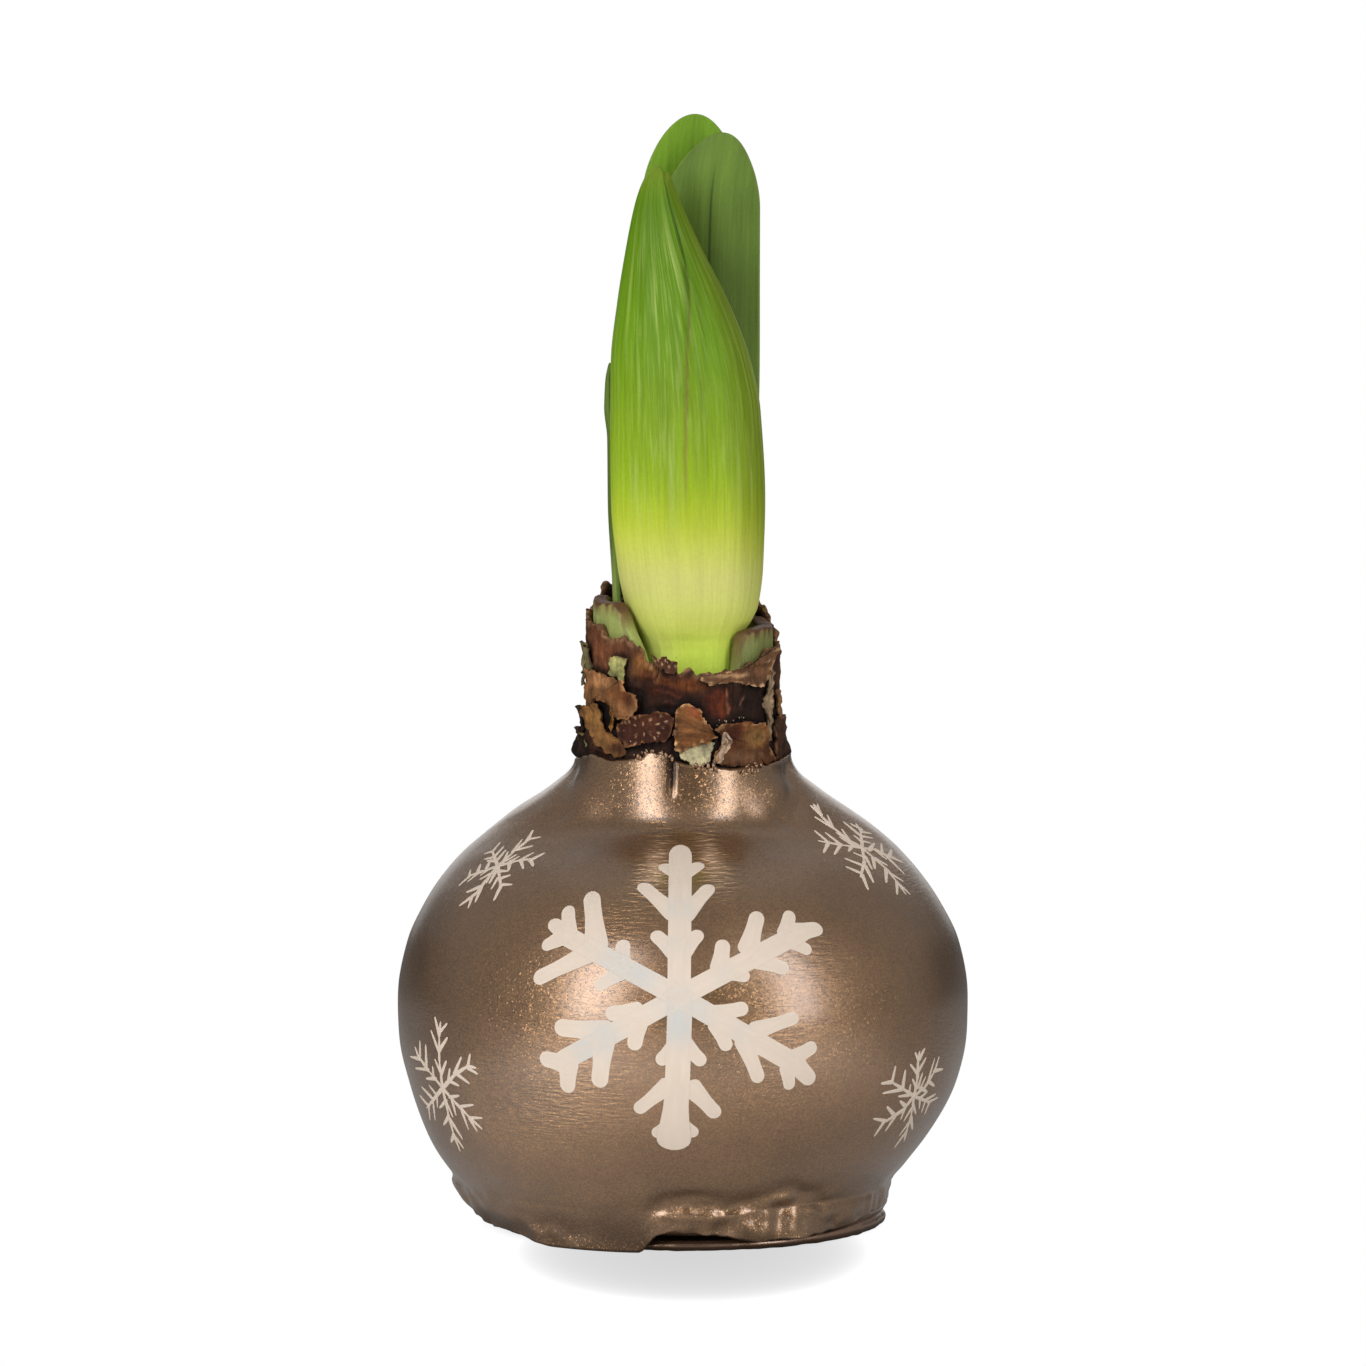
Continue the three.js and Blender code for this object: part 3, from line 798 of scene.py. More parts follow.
# Up the skirt, which runs on in line with the belly except where it folds, then the body and the neck
def outerRings(azimuth, edge, lip, folded, top):
    footRadius, footHeight = waxOutline[0]
    foot = footRadius - wax["leanLeft"] * np.cos(np.radians(azimuth))
    folding, *inLine = wax["skirtPower"]
    power = np.clip(0.8 * (footHeight - edge) / np.maximum(foot - lip, 0.1), *inLine)
    power = power + (folding - power) * folded
    pairs = [(lip + (foot - lip) * share ** power, edge + (footHeight - edge) * share)
             for share in np.linspace(0, 1, wax["skirtRings"], endpoint=False)]
    body = smoothPath(waxOutline, wax["bodyRings"], soften=4.0)
    pairs += [(leaned(radius, height, azimuth), height) for radius, height in body]
    neckRadius, neckHeight = body[-1]
    neck, reach = wax["rimRadius"], top - wax["rimRound"] - neckHeight
    pairs += [(neck + (neckRadius - neck) * (1 - share) ** wax["neckPower"], neckHeight + reach * share)
              for share in np.linspace(0, 1, wax["neckRings"] + 1)[1:]]
    rings = asRings(pairs, azimuth)
    radius, height = rings.transpose(1, 0, 2)
    rings[:, 0] = radius + frontShare(height, azimuth) * (frontRadius(height) - radius)
    return rings


def rimRings(top):  # over the rim and a little way down inside
    radius, wall, bend = wax["rimRadius"], wax["rimWall"], wax["rimRound"]
    over = [(radius - wall * (0.5 - 0.5 * math.cos(turn)), top - bend + bend * math.sin(turn))
            for turn in (0.6, 1.2, 1.9, 2.6)]
    return over + [(radius - wall, top - drop) for drop in (0.6, 1.4)]


def waxRelief(azimuth, radius, height, edge, folds, folded):  # how far the outside stands out or in
    spots = roundPoints(azimuth, radius, height)
    crest, rise = folds
    above = height - crest + layered(spots, waxNoise["crest"])
    fold = 0.85 * np.where(above > 0, bell(above, 1.35), 0.9 + 0.1 * bell(above, 1.8))
    fold = rise * (fold - 0.35 * bell(above - 2.6, 1.1)) * softStep(above, -8, -5.5)
    fold = fold * (0.9 + layered(spots, waxNoise["fold"]))
    swell = (layered(spots, waxNoise["swell"]) - wax["shrink"]) * softStep(height, *wax["swellFrom"])
    low = layered(spots, waxNoise["low"]) * softStep(height, *wax["lowFrom"])
    fringe = layered(spots, waxNoise["fringe"]) * softStep(height - edge, 3.2, 0.8) * softStep(edge, 1.2, 2.4)
    belly = wax["lowBelly"] * (1 - folded) * bell(height - 5.6, 3.2)
    wall = softStep(height, *wax["neckFrom"]) * sector(azimuth, frontWall["middle"], *frontWall["wallWide"])
    shoulder = layered(spots, waxNoise["shoulder"]) * softStep(height, *wax["shoulderFrom"])
    shoulder = shoulder * (1 - 0.85 * wall)
    return fold + swell + low + fringe + belly + shoulder


def waxRings():
    azimuth = fromBack(wax["turns"])
    edge, lip = readRound(waxHem, azimuth)[:, 1:].T
    hemAt, rimAt = [roundPoints(azimuth, radius, 0) for radius in wax["noiseAt"]]
    edge = edge + layered(hemAt, waxNoise["hem"]) * softStep(edge, 0.9, 2.2)
    crest, rise = readRound(hemFolds, azimuth)[:, 1:].T
    folded = np.clip(rise / wax["foldRise"], 0, 1)
    lip = lip + wax["foldOut"] * folded
    top = readRound(waxRim, azimuth)[:, 1] + layered(rimAt, waxNoise["rim"])

    under = asRings(underRings(edge, lip), azimuth)
    outer = outerRings(azimuth, edge, lip, folded, top)
    rim = asRings(rimRings(top), azimuth)
    inside = bodyRings(hollowOutline, azimuth, wax["leastInside"])
    radius, height = outer.transpose(1, 0, 2)
    creases = wax["creased"] * besideLines(azimuth, height, radius, waxCreases)
    relief = waxRelief(azimuth, radius, height, edge, (crest, rise), folded)
    outer = np.stack([radius + relief - creases, height - creases], axis=1)

    rings = np.vstack([under, outer, rim, inside])
    radius, height = rings.transpose(1, 0, 2)
    number, last = np.arange(len(rings))[:, None], len(under)
    # The groove under the hem and the slit in the neck are marked for painted shade.
    groove = (number < last) * softStep(number, 6, 10) * softStep(number, last, last - 3)
    above = np.clip(height - neckSlit[-1][1], 0, 5)
    slit = bell(nearLine(azimuth, height, radius, neckSlit), 0.3 + 0.2 * above)
    marks = {
        "brushed": np.minimum(spread(azimuth, height, brushedSpots), 1),
        "deep": np.maximum(groove, slit * softStep(height, 69.4, 71)),
        "polish": softStep(height, *wax["neckFrom"]) * (number < last + len(outer)),
        # low: painted shade near the foot, less on the folds
        "low": softStep(height, 9, 2) * (1 - 0.8 * folded),
    }
    return roundPoints(azimuth, radius, height), marks


bronzeWax = waxFinish("bronzeWax", waxLook)
spots, marks = waxRings()
waxCoat = place(loft("waxCoat", spots, **marks), bronzeWax, "bronze_wax", "wax_coat")


# Wire stand: a ring and a half of wire dipped in the same wax

coil = {
    "wireRadius": 0.8,
    "radius": 30.2,
    "oval": 0.9,
    "startAzimuth": -4,
    "turns": 1.42,
    "pointCount": 300,
    "spacing": 0.5,
    "sides": 20,
    "lumps": 0.35,
    "lumpSize": 2.6,
}

coilHeights = [  # share of its length, height
    [0, 0.8], [0.34, 0.8], [0.5, 1.6], [0.7, 3.0], [0.82, 3.25], [1, 3.55],
]

coilGirth = [  # share of its length, girth
    [0, 1.5], [0.05, 1.5], [0.1, 1.15], [0.2, 1.0], [0.55, 1.1], [0.7, 1.35], [0.8, 1.2], [1, 1.0],
]

wireLook = dict(waxLook, colour=paint(160, 122, 98), roughness=0.34, flakeTilt=0.1, flakeShade=0.2,
                brushDepth=0.01)


def wireRecipe():
    recipe = Recipe("dippedWire", Radius="Float", Lumps="Float", LumpScale="Float", Spacing="Float",
                    Sides="Int", Finish="Material")
    given = recipe.given
    line = recipe.line(given["Spacing"])
    uneven = recipe.node("ShaderNodeTexNoise", sockets={"Scale": given["LumpScale"], "Detail": 1.0})
    radius = given["Radius"] * recipe.mark("girth") * (1 + (uneven - 0.5) * given["Lumps"])
    radius = radius * recipe.roundEnds(given["Radius"])
    recipe.end(recipe.tube(line, recipe.circle(given["Sides"]), radius), given["Finish"])
    return recipe


def coilPoints():
    share = np.linspace(0, 1, coil["pointCount"])
    azimuth = coil["startAzimuth"] - 360 * coil["turns"] * share
    radius = coil["radius"] + coil["oval"] * np.cos(np.radians(azimuth))
    girth = readRows(coilGirth, share)[:, 1]
    height = np.maximum(readRows(coilHeights, share)[:, 1], girth * coil["wireRadius"] + 0.03)
    return roundPoints(azimuth, radius, height), girth


dippedWire = waxFinish("dippedWire", wireLook)
coilPath, girth = coilPoints()
wire = wireRecipe().run(
    "standCoil", threadOf("coilPath", [coilPath], girth=girth), Radius=coil["wireRadius"] * mm,
    Lumps=coil["lumps"], LumpScale=1 / (coil["lumpSize"] * mm), Spacing=coil["spacing"] * mm,
    Sides=coil["sides"], Finish=dippedWire)
place(wire, dippedWire, "waxed_wire", "stand_coil")


# Painted snowflakes: flat strokes of paint laid on the wax

snow = {
    "bigRelief": 0.006,
    "smallRelief": 0.1,
    "layer": (0.03, 0.036),
    "spacing": 0.7,
    "capSteps": (6, 4),  # in the round ends of big and small strokes
    "widen": 1.22,
    "smallWidths": (0.595, 0.84),
    "overlap": 0.45,
    "flare": 0.45,
    "flareUnder": 14,
    "taper": -0.45,
    "sides": 14,
    "square": 1.35,
    "from": 40,
    "reach": 90,
    "cream": paint(221, 203, 184),
    "grey": paint(199, 197, 190),
    "streakShade": 0.16,
    "streakDepth": 0.02,
    "roughness": 0.6,
    "gloss": 0.15,
    "seed": 7,
}

thinSpots = [  # where the big flake's paint is thin and greyish: right, up, reach, strength
    (0, -2.5, 3.2, 0.8), (0.2, -5.5, 2.2, 0.6), (-6, 3.5, 3.2, 0.9), (-10.5, 5.6, 2.4, 0.6),
    (0.6, 13.5, 1.8, 0.5), (-0.8, 8, 1.6, 0.4), (-11, -5.8, 2.8, 0.7), (-14.5, -8.3, 2.2, 0.7),
    (-20.2, -11.5, 1.6, 0.6), (4, -2.4, 2.0, 0.4), (9.5, -4.6, 2.0, 0.4), (-4.4, -18.8, 1.4, 0.4),
    (7, 3, 1.8, 0.3),
]

# Strokes in millimetres right and up of a flake's middle, as seen square on: start, end, width
bigStrokes = [
    (0.2, 22.0, 0, 0, 2.9), (0.2, 0.6, -0.3, -14.7, 3.1), (-0.3, -14.2, -0.8, -21.7, 3.1),
    (-2, 19.9, -0.3, 19.1, 1.9), (2.7, 20.1, 0.9, 19.1, 1.9), (-5.2, 16.7, -0.8, 12.8, 1.9),
    (4.3, 16.4, 0.9, 12.6, 1.9), (-3.3, 9.2, -0.8, 7, 1.8), (2.7, 9.3, 0.7, 7, 1.8),
    (-2.6, -9.5, -0.3, -7.1, 1.7), (3.2, -9.6, 0.9, -7.3, 1.7), (-5.9, -16.9, -1.7, -13.5, 1.7),
    (5.3, -17.5, 1.9, -13.8, 1.9), (-3.2, -20.7, -1.2, -19.7, 1.7), (2, -20.6, 0.4, -19.7, 1.7),
    (0, 0, -17.3, 9.4, 2.6), (-8.5, 7.7, -8.7, 4.4, 1.9), (-12, 1.8, -8.7, 3.9, 1.7),
    (-13.3, 15, -12.5, 7.7, 2.2), (-21.1, 3, -13.4, 6.8, 2), (-16.9, 13, -16.8, 9.7, 1.8),
    (-18.9, 11, -16.8, 9.2, 1.9), (-20, 8, -18.2, 8.9, 1.8), (0, 0, 18.6, 9.9, 2.6),
    (6.6, 7.7, 6.2, 4.4, 1.9), (9.8, 3.2, 6.6, 3.9, 1.7), (11.8, 12, 10.5, 7.3, 2),
    (15.7, 4.4, 11.9, 5.6, 1.8), (16.8, 12.3, 16.2, 9.7, 1.7), (20.7, 10.4, 18.1, 9.9, 2.1),
    (19.3, 7.3, 16.9, 8.5, 1.7), (0, 0, -17.5, -9.7, 2.6), (-10.1, -2.5, -6.3, -2.3, 1.9),
    (-6.7, -7.1, -6, -3.5, 1.9), (-17.7, -4.7, -11, -5.4, 2.2), (-12, -12.6, -11.3, -6.1, 2.2),
    (-20.1, -9.5, -17.3, -10.2, 2), (-16.9, -13.5, -16.8, -10.4, 2.1), (0, 0, 17.9, -10.4, 2.6),
    (9.5, -1.8, 4.7, -2.8, 1.8), (7.1, -7.3, 5.7, -4.2, 1.7), (17.2, -3.3, 11.4, -5.2, 1.7),
    (11.9, -12.1, 9.8, -6.6, 1.8), (20, -7.8, 17.2, -9.5, 1.8), (19.6, -12.3, 17.6, -10.2, 2.1),
    (16.7, -13.3, 16.4, -10.9, 1.6),
]

upperLeftStrokes = [
    (0, 0, 2.8, 2.5), (2.8, 2.5, 5, 4.3), (4.6, 4, 5.4, 5.4), (4.8, 4.2, 6.5, 4.5), (2.3, 2.2, 3.7, 4),
    (2.8, 2.5, 5.3, 3.1), (0.8, 0.5, 1.5, 2), (1.2, 0.8, 2.8, 1.7), (0, 0, 3.4, 0.9), (3.4, 0.9, 5.3, 1.1),
    (5, 0.9, 7, 1.9), (1.9, 0.6, 1.7, -0.5), (1.7, 0.6, 3.2, 1.4), (3.6, 0.8, 3.9, -0.2), (3.4, 0.9, 5.4, 2),
    (5.1, 0.9, 5.4, 0.2), (0, 0, 0.3, -1.9), (0.3, -1.9, 0.5, -3.2), (0.5, -3.1, -0.5, -5.1),
    (0.5, -2.9, 2, -2.9), (0.3, -0.8, 1.4, -0.8), (0.5, -1.9, 1.7, -1.5), (0, -1.9, -0.9, -3.4),
    (0, 0, -1.9, -2.3), (-1.9, -2.3, -3.4, -4.3), (-3.4, -4.3, -5.7, -6), (-4, -4.8, -4.5, -6.3),
    (-1.2, -1.2, -2.6, -2), (-1.2, -1.5, -1.7, -2.5), (-0.3, -0.9, -1.2, -2.5), (-2.5, -3.1, -4.6, -4),
    (-2.5, -3.2, -3.4, -5.4), (0, 0, -2.5, -0.9), (-2.5, -0.9, -4.3, -1.5), (-4.3, -1.5, -5.9, -2.9),
    (-1.4, -0.5, -2.6, -1.4), (-1.7, -0.3, -1.2, 0.8), (-3.1, -0.9, -2.8, 0), (-2.8, -0.9, -4.5, -2.3),
    (-4.5, -1.7, -4.3, -0.8), (0, 0, -0.8, 2.2), (-0.8, 2.3, 0.3, 3.6), (-0.8, 2.3, -1.9, 2),
    (-0.5, 1.5, 0.8, 2.9), (-0.6, 1.4, -1.9, 1.1), (-0.2, 0.8, 1.1, 2.3), (-0.3, 0.8, -1.4, 0.8),
]

upperRightStrokes = [
    (0, 0, -0.3, 2.8), (-0.3, 2.8, -0.9, 3.7), (-0.2, 3, -1.6, 3.7), (-0.2, 2.6, 1.2, 2.3),
    (-0.2, 1.9, 1.4, 1.6), (-0.2, 1.9, -2.8, 4), (0, 1.1, 1.2, 0.8), (0, 0.9, -1.2, 1.9), (0, 0, -2.3, 1.4),
    (-2.3, 1.4, -4.7, 3.3), (-4.7, 3.3, -6.5, 5.1), (-6.5, 5.3, -7.9, 6.5), (-6.7, 5.6, -7.5, 6.7),
    (-6.7, 5.6, -7, 6.7), (-4.5, 3.1, -7.3, 4.8), (-4.7, 3.4, -5.4, 5), (-2, 1.2, -3.1, 2.8),
    (-2, 1.2, -3.9, 2.3), (0, 0, -3.4, 0.5), (-3.4, 0.5, -6.7, 1.1), (-5.3, 0.9, -7.3, 2.6),
    (-5.3, 0.8, -5.9, -0.5), (-3.3, 0.5, -5.6, 2.3), (-3.4, 0.5, -4.2, -0.8), (-1.1, 0.3, -3.3, 1.6),
    (-1.7, 0.2, -2, -0.3), (0, 0, 0.3, -2.2), (0.3, -2.2, -0.2, -4.3), (0, -4.2, 0.8, -6.2),
    (0.2, -1.4, -1.2, -0.8), (0.3, -2.8, -2.5, -1.7), (-0.2, -3.9, -2.3, -3), (0.5, -1.4, 1.4, -3.1),
    (0.5, -2.8, 1.6, -5.1), (0, 0, 2.2, -1.9), (2.2, -1.9, 3.9, -3.4), (3.9, -3.4, 5.4, -5.3),
    (5.4, -5.3, 7.3, -7.1), (1.7, -1.6, 1.9, -3), (2, -1.6, 3.7, -2.6), (3.7, -3.4, 3.7, -5.1),
    (4, -3.7, 6.2, -5.1), (5.4, -5.4, 5.4, -7), (5.7, -5.7, 6.7, -7.1), (0, 0, 2.2, -0.3),
    (2.2, -0.3, 4, -1.2), (4, -1.2, 6.2, -2.2), (1.2, -0.2, 1.7, 0.5), (3.1, -0.8, 3, 0.5),
    (2, -0.3, 3.7, -1.7), (4.3, -1.2, 4.5, -0.5), (3.6, -1.1, 6.4, -3.9),
]

lowerLeftStrokes = [
    (0, 0, -0.5, 4.3), (-0.5, 4.3, -0.5, 8.9), (-0.5, 8.3, -1.1, 10.8), (-0.5, 8.3, -0.3, 10),
    (-0.5, 8.6, 0.6, 9.9), (-0.5, 5.5, -1.7, 8.8), (-0.5, 5.9, 0.6, 7.6), (-0.2, 2.2, -1.1, 4.3),
    (-0.2, 2.2, 0.5, 4), (0, 0, -2.3, 2.9), (-2.3, 2.9, -3.7, 4.9), (-3.7, 4.6, -4.8, 4.9),
    (-3.7, 4.8, -4.2, 6.2), (-3.5, 4.9, -3.5, 7.2), (-2.3, 2.9, -4, 3.1), (-2.5, 3.2, -2.6, 6.5),
    (-1.2, 1.5, -2.3, 1.5), (-1.4, 1.8, -1.5, 3.2), (0, 0, 2, 2.2), (2, 2.2, 3.9, 3.4), (3.9, 3.4, 4.2, 5.1),
    (3.9, 3.4, 4.9, 3.2), (3.9, 3.1, 5.2, 2.3), (1.8, 2.2, 2.8, 4.6), (2.2, 2.2, 3.9, 0.9),
    (0.9, 1.2, 1.1, 2.8), (1.1, 1.1, 2.3, 0.5), (0, 0, 2, -2.3), (2, -2.3, 4.2, -4.6), (4.2, -4.6, 5.9, -4.6),
    (4.2, -4.6, 5.9, -6.2), (4.2, -4.8, 5.2, -6.5), (1.2, -1.4, 2.3, -1.2), (1.4, -1.7, 2, -4),
    (2.6, -2.9, 4.5, -2.6), (2.8, -3.1, 3.9, -6.2), (0, 0, 0.9, -4.2), (0.9, -4.2, 1.8, -7.6),
    (1.7, -7.4, 1.4, -8.2), (1.8, -7.6, 2.6, -9.6), (1.8, -7.4, 3.1, -9.2), (0.5, -2, -0.3, -2.9),
    (0.5, -2, 1.5, -4.3), (0.9, -4.5, 0.3, -5.5), (1.1, -4.8, 2.9, -7.7), (0, 0, -2.3, -2.9),
    (-2.2, -2.8, -3.4, -1.4), (-2.2, -2.8, -2, -4.8), (-1.1, -0.9, -2, 0.3), (-0.9, -1.2, -0.8, -2.8),
    (-1.7, -1.5, -3.1, 0), (-1.5, -2, -1.2, -4.8),
]

lowerRightStrokes = [
    (0, 0, 0.5, 2.8), (0.5, 2.8, 0.6, 5.8), (0.6, 5.7, 0.2, 6.6), (0.6, 5.7, 0.8, 6.8), (0.8, 5.8, 1.5, 7.2),
    (0.5, 3.5, -0.5, 4.8), (0.6, 3.8, 1.7, 5.8), (0.3, 1.4, -0.2, 2.5), (0.6, 1.4, 1.2, 3.4),
    (0, 0, -1.8, 1.2), (-1.8, 1.2, -3.5, 2.2), (-3.5, 2.2, -4.8, 2), (-3.4, 2.2, -2.9, 4.5),
    (-1.8, 1.2, -1.4, 3.8), (-1.7, 1.1, -4.6, 0.5), (-0.8, 0.6, -0.6, 1.7), (-0.8, 0.2, -2.2, 0),
    (0, 0, 1.7, 1.5), (1.7, 1.5, 3.1, 3.8), (3.1, 3.8, 3.8, 6), (3.2, 4, 4.2, 4.2), (0.9, 1.1, 1.7, 2.9),
    (1.1, 1.2, 1.8, 0.8), (2.2, 2.6, 3.1, 5.7), (2.3, 2.3, 2.9, 1.8), (0, 0, 2.3, -0.9),
    (2.3, -0.9, 3.5, -0.3), (2.3, -1.1, 1.7, -2.6), (0.9, -0.3, 1.8, 0.5), (0.9, -0.5, 0.8, -1.7),
    (1.8, -0.6, 3.1, 0.2), (1.7, -0.8, 1.2, -2.3), (0, 0, -0.5, -3.2), (-0.5, -3.2, -1.2, -5.5),
    (-1.2, -5.5, -2.9, -7.8), (-1.2, -5.5, -1.5, -6.8), (-0.2, -1.2, 0.2, -2.5), (-0.3, -1.7, -1.5, -3.7),
    (-0.5, -3.4, -0.3, -4.9), (-0.6, -3.8, -2.2, -6), (0, 0, -1.8, -2.2), (-1.8, -2.2, -4.5, -4),
    (-4.5, -3.8, -6, -6), (-4.5, -3.8, -6, -3.5), (-1.4, -1.5, -2, -0.9), (-1.4, -1.8, -2, -3.4),
    (-3.1, -2.9, -4, -1.8), (-2.9, -3.1, -4.3, -5.2),
]

# Where each flake is laid on: azimuth it is seen from, how far that view looks down and to the left, its
# middle to the right of the axis, how far out that is, its height, and its strokes
flakePlaces = [
    (-90, 7.2, 0.0, -0.6, 44.4, 41.2, bigStrokes), (-90, 6.0, 1.8, -28.7, 19.8, 58.5, upperLeftStrokes),
    (-90, 5.8, -1.7, 27.9, 15.9, 60.9, upperRightStrokes),
    (-90, 8.1, 2.3, -37.2, 23.2, 24.3, lowerLeftStrokes),
    (-90, 8.2, -2.2, 35.7, 25.1, 23.3, lowerRightStrokes), (92, 6.0, 0.0, 0.8, 44.2, 40.6, bigStrokes),
    (84, 6.0, 1.8, -28.2, 19.8, 57.9, upperLeftStrokes), (88, 6.0, -1.7, 28.4, 15.9, 60.2, upperRightStrokes),
    (66, 8.0, 2.3, -23.0, 37.5, 22.6, lowerLeftStrokes),
    (116, 8.0, -2.2, 22.5, 37.5, 25.0, lowerRightStrokes),
]


def paintRecipe():
    recipe = Recipe("brushedPaint", Ground="Object", Reach="Float", Relief="Float", Sides="Int",
                    Rounded="Bool", Finish="Material")
    given = recipe.given
    line = recipe.line()
    ground = recipe.node("GeometryNodeObjectInfo", sockets=[given["Ground"]], out="Geometry")
    aim = recipe.mark("aim", "FLOAT_VECTOR")
    sockets = {"Target Geometry": ground, "Ray Direction": aim, "Ray Length": given["Reach"]}
    hit = recipe.node("GeometryNodeRaycast", sockets=sockets)
    facing = recipe.also(hit, "Hit Normal")
    line = recipe.keep(line, "ground", facing, "FLOAT_VECTOR")
    line = recipe.keep(line, "landed", hit * 1.0)
    lift = recipe.vector("SCALE", facing, recipe.mark("layer"))
    spot = recipe.vector("ADD", recipe.also(hit, "Hit Position"), lift)
    line = recipe.node("GeometryNodeSetPosition", sockets={"Geometry": line, "Position": spot})
    sockets = {"Geometry": line, "Selection": 1 - recipe.mark("landed")}
    line = recipe.node("GeometryNodeDeleteGeometry", {"domain": "POINT"}, sockets)
    sockets = {"Curve": line, "Normal": recipe.mark("ground", "FLOAT_VECTOR")}
    line = recipe.node("GeometryNodeSetCurveNormal", {"mode": "FREE"}, sockets)
    line = recipe.keep(line, "along", recipe.node("GeometryNodeSplineParameter", out="Length"))
    width = recipe.mark("halfWidth")
    section = recipe.circle(given["Sides"])
    at = recipe.node("GeometryNodeInputPosition")
    section = recipe.keep(section, "across", recipe.node("ShaderNodeSeparateXYZ", sockets=[at], out="Y"))
    corner = recipe.vector("SCALE", at, snow["square"])
    corner = recipe.vector("MINIMUM", corner, (1, 1, 1))
    corner = recipe.vector("MAXIMUM", corner, (-1, -1, -1))
    flat = recipe.node("ShaderNodeCombineXYZ", sockets=[given["Relief"], 1.0, 1.0])
    flat = recipe.vector("MULTIPLY", corner, flat)
    section = recipe.node("GeometryNodeSetPosition", sockets={"Geometry": section, "Position": flat})
    recipe.end(recipe.tube(line, section, width), given["Finish"], given["Rounded"])
    return recipe


def strokeForm(length, width, big):  # steps along a stroke that round its ends, and half its width at each
    cap = min(width / 2, length / 2.2)
    turn = np.linspace(0.12, math.pi / 2, snow["capSteps"][not big])
    rounding = cap * (1 - np.cos(turn))
    count = max(2, int((length - 2 * cap) / snow["spacing"]))
    middle = np.linspace(cap, length - cap, count)[1:-1]
    along = np.concatenate([rounding, middle, length - rounding[::-1]])
    short = np.clip(1 - np.minimum(along, length - along) / cap, 0, 1)
    flare = (snow["flare"] if length < snow["flareUnder"] else 0) if big else snow["taper"]
    flare = 1 + flare * softStep(along / length, 0.3, 1.0)
    return along, width / 2 * flare * np.sqrt(1 - short * short)


def snowLines(name, rows):
    draw = random.Random(snow["seed"])
    lines, aims, halves, layers, washes = [], [], [], [], []
    upward = np.array([0, 0, 1])
    for azimuth, down, left, across, out, height, strokes in rows:
        view = math.radians(azimuth)
        sideways = np.array([-math.sin(view), math.cos(view), 0])
        outward = np.array([math.cos(view), math.sin(view), 0])
        aim = -outward - sideways * math.tan(math.radians(left)) - upward * math.tan(math.radians(down))
        aim = aim / np.linalg.norm(aim)
        centre = sideways * across + outward * out + upward * height - aim * snow["from"]
        for stroke in strokes:
            big = len(stroke) > 4
            width = snow["widen"] * stroke[4] if big else draw.uniform(*snow["smallWidths"])
            start, end = np.array(stroke[:4], float).reshape(2, 2)
            length = np.linalg.norm(end - start)
            way = (end - start) / length
            along, half = strokeForm(length + width * 2 * snow["overlap"], width, big)
            path = start - way * width * snow["overlap"] + along[:, None] * way
            lines.append(centre + path[:, :1] * sideways + path[:, 1:] * upward)
            aims += [aim] * len(along)
            halves += list(half * mm)
            layers += [draw.uniform(*snow["layer"]) * mm] * len(along)
            thin = sum(strength * bell(np.hypot(*(path - spot).T), reach)
                       for *spot, reach, strength in thinSpots)
            washes += list(np.minimum(thin * big, 1.0))
    return threadOf(name, lines, aim=aims, halfWidth=halves, layer=layers, wash=washes)


def snowFinish():
    look = Finish("snowPaint")
    across = look.mark("across", "Fac")
    along = look.mark("along", "Fac")
    wash = look.mark("wash", "Fac")
    grid = look.node("ShaderNodeCombineXYZ", sockets=[across * 3.0, along * 200.0, 0.5])
    streak = look.grain(1.0, vector=grid, detail=3.0)
    cool = (streak.step(0.3, 0.62) * 0.6 + 0.4) * wash
    colour = look.mix(cool, snow["cream"], snow["grey"])
    colour = look.shade(colour, streak.about(1, snow["streakShade"]))
    normal = look.bump(streak, snow["streakDepth"])
    return look.close(Base_Color=colour, Roughness=snow["roughness"], Normal=normal,
                      Specular_IOR_Level=snow["gloss"])


snowPaint = snowFinish()
brushedPaint = paintRecipe()
for name, isBig in (("bigFlakes", True), ("smallFlakes", False)):
    rows = [row for row in flakePlaces if (row[-1] is bigStrokes) == isBig]
    flakes = brushedPaint.run(
        name, snowLines(name + "Lines", rows), Ground=waxCoat, Reach=snow["reach"] * mm,
        Relief=snow["bigRelief" if isBig else "smallRelief"], Sides=snow["sides"], Rounded=not isBig,
        Finish=snowPaint)
    place(flakes, snowPaint, "snow_paint")


# Living bulb: flesh inside the wax, and the cut ends of its scales round the neck

flesh = {
    "turns": 240,
    "leastBody": 14.3,
    "neckRadius": 14.2,
    "neckFoot": 71,
    "scaleWall": 2.4,
    "rimRound": 0.5,
    "rimNoise": [(0.5, 2.5, 4)],
    "floor": 84,
    "scaleRings": [(11.2, 1.0), (9.0, 0.7), (6.4, 0.9)],
    "green": (158, 166, 92),
}

fleshCrusts = [  # from and to which height against the rim, colour, strength
    (-1.9, -0.5, (140, 112, 62), 0.6), (-0.7, -0.2, (92, 62, 40), 1.0),
]

scaleRim = [  # azimuth, height of the cut scales
    [-155, 98.6], [-140, 98.4], [-134, 97.4], [-127, 94.4], [-119, 91.2], [-113, 88.0], [-100, 86.9],
    [-90, 86.4], [-53, 87.2], [-50, 90.8], [-47, 93.6], [-40, 94.4], [-20, 94.6], [10, 94.8], [50, 96.2],
    [90, 96.8], [135, 98.0], [180, 98.9],
]

bulbBody = [  # radius, height from under the bulb to its neck
    (0, 2.7), (14.5, 2.7), (19.6, 4.1), (24.2, 6.3), (28.6, 7.4), (33, 10.3), (37.7, 16), (41.1, 23.2),
    (42.5, 32), (42, 39.8), (39.7, 46.6), (36, 52.6), (30.2, 58.9), (23.7, 64), (18.2, 67.8), (15.7, 69.6),
]


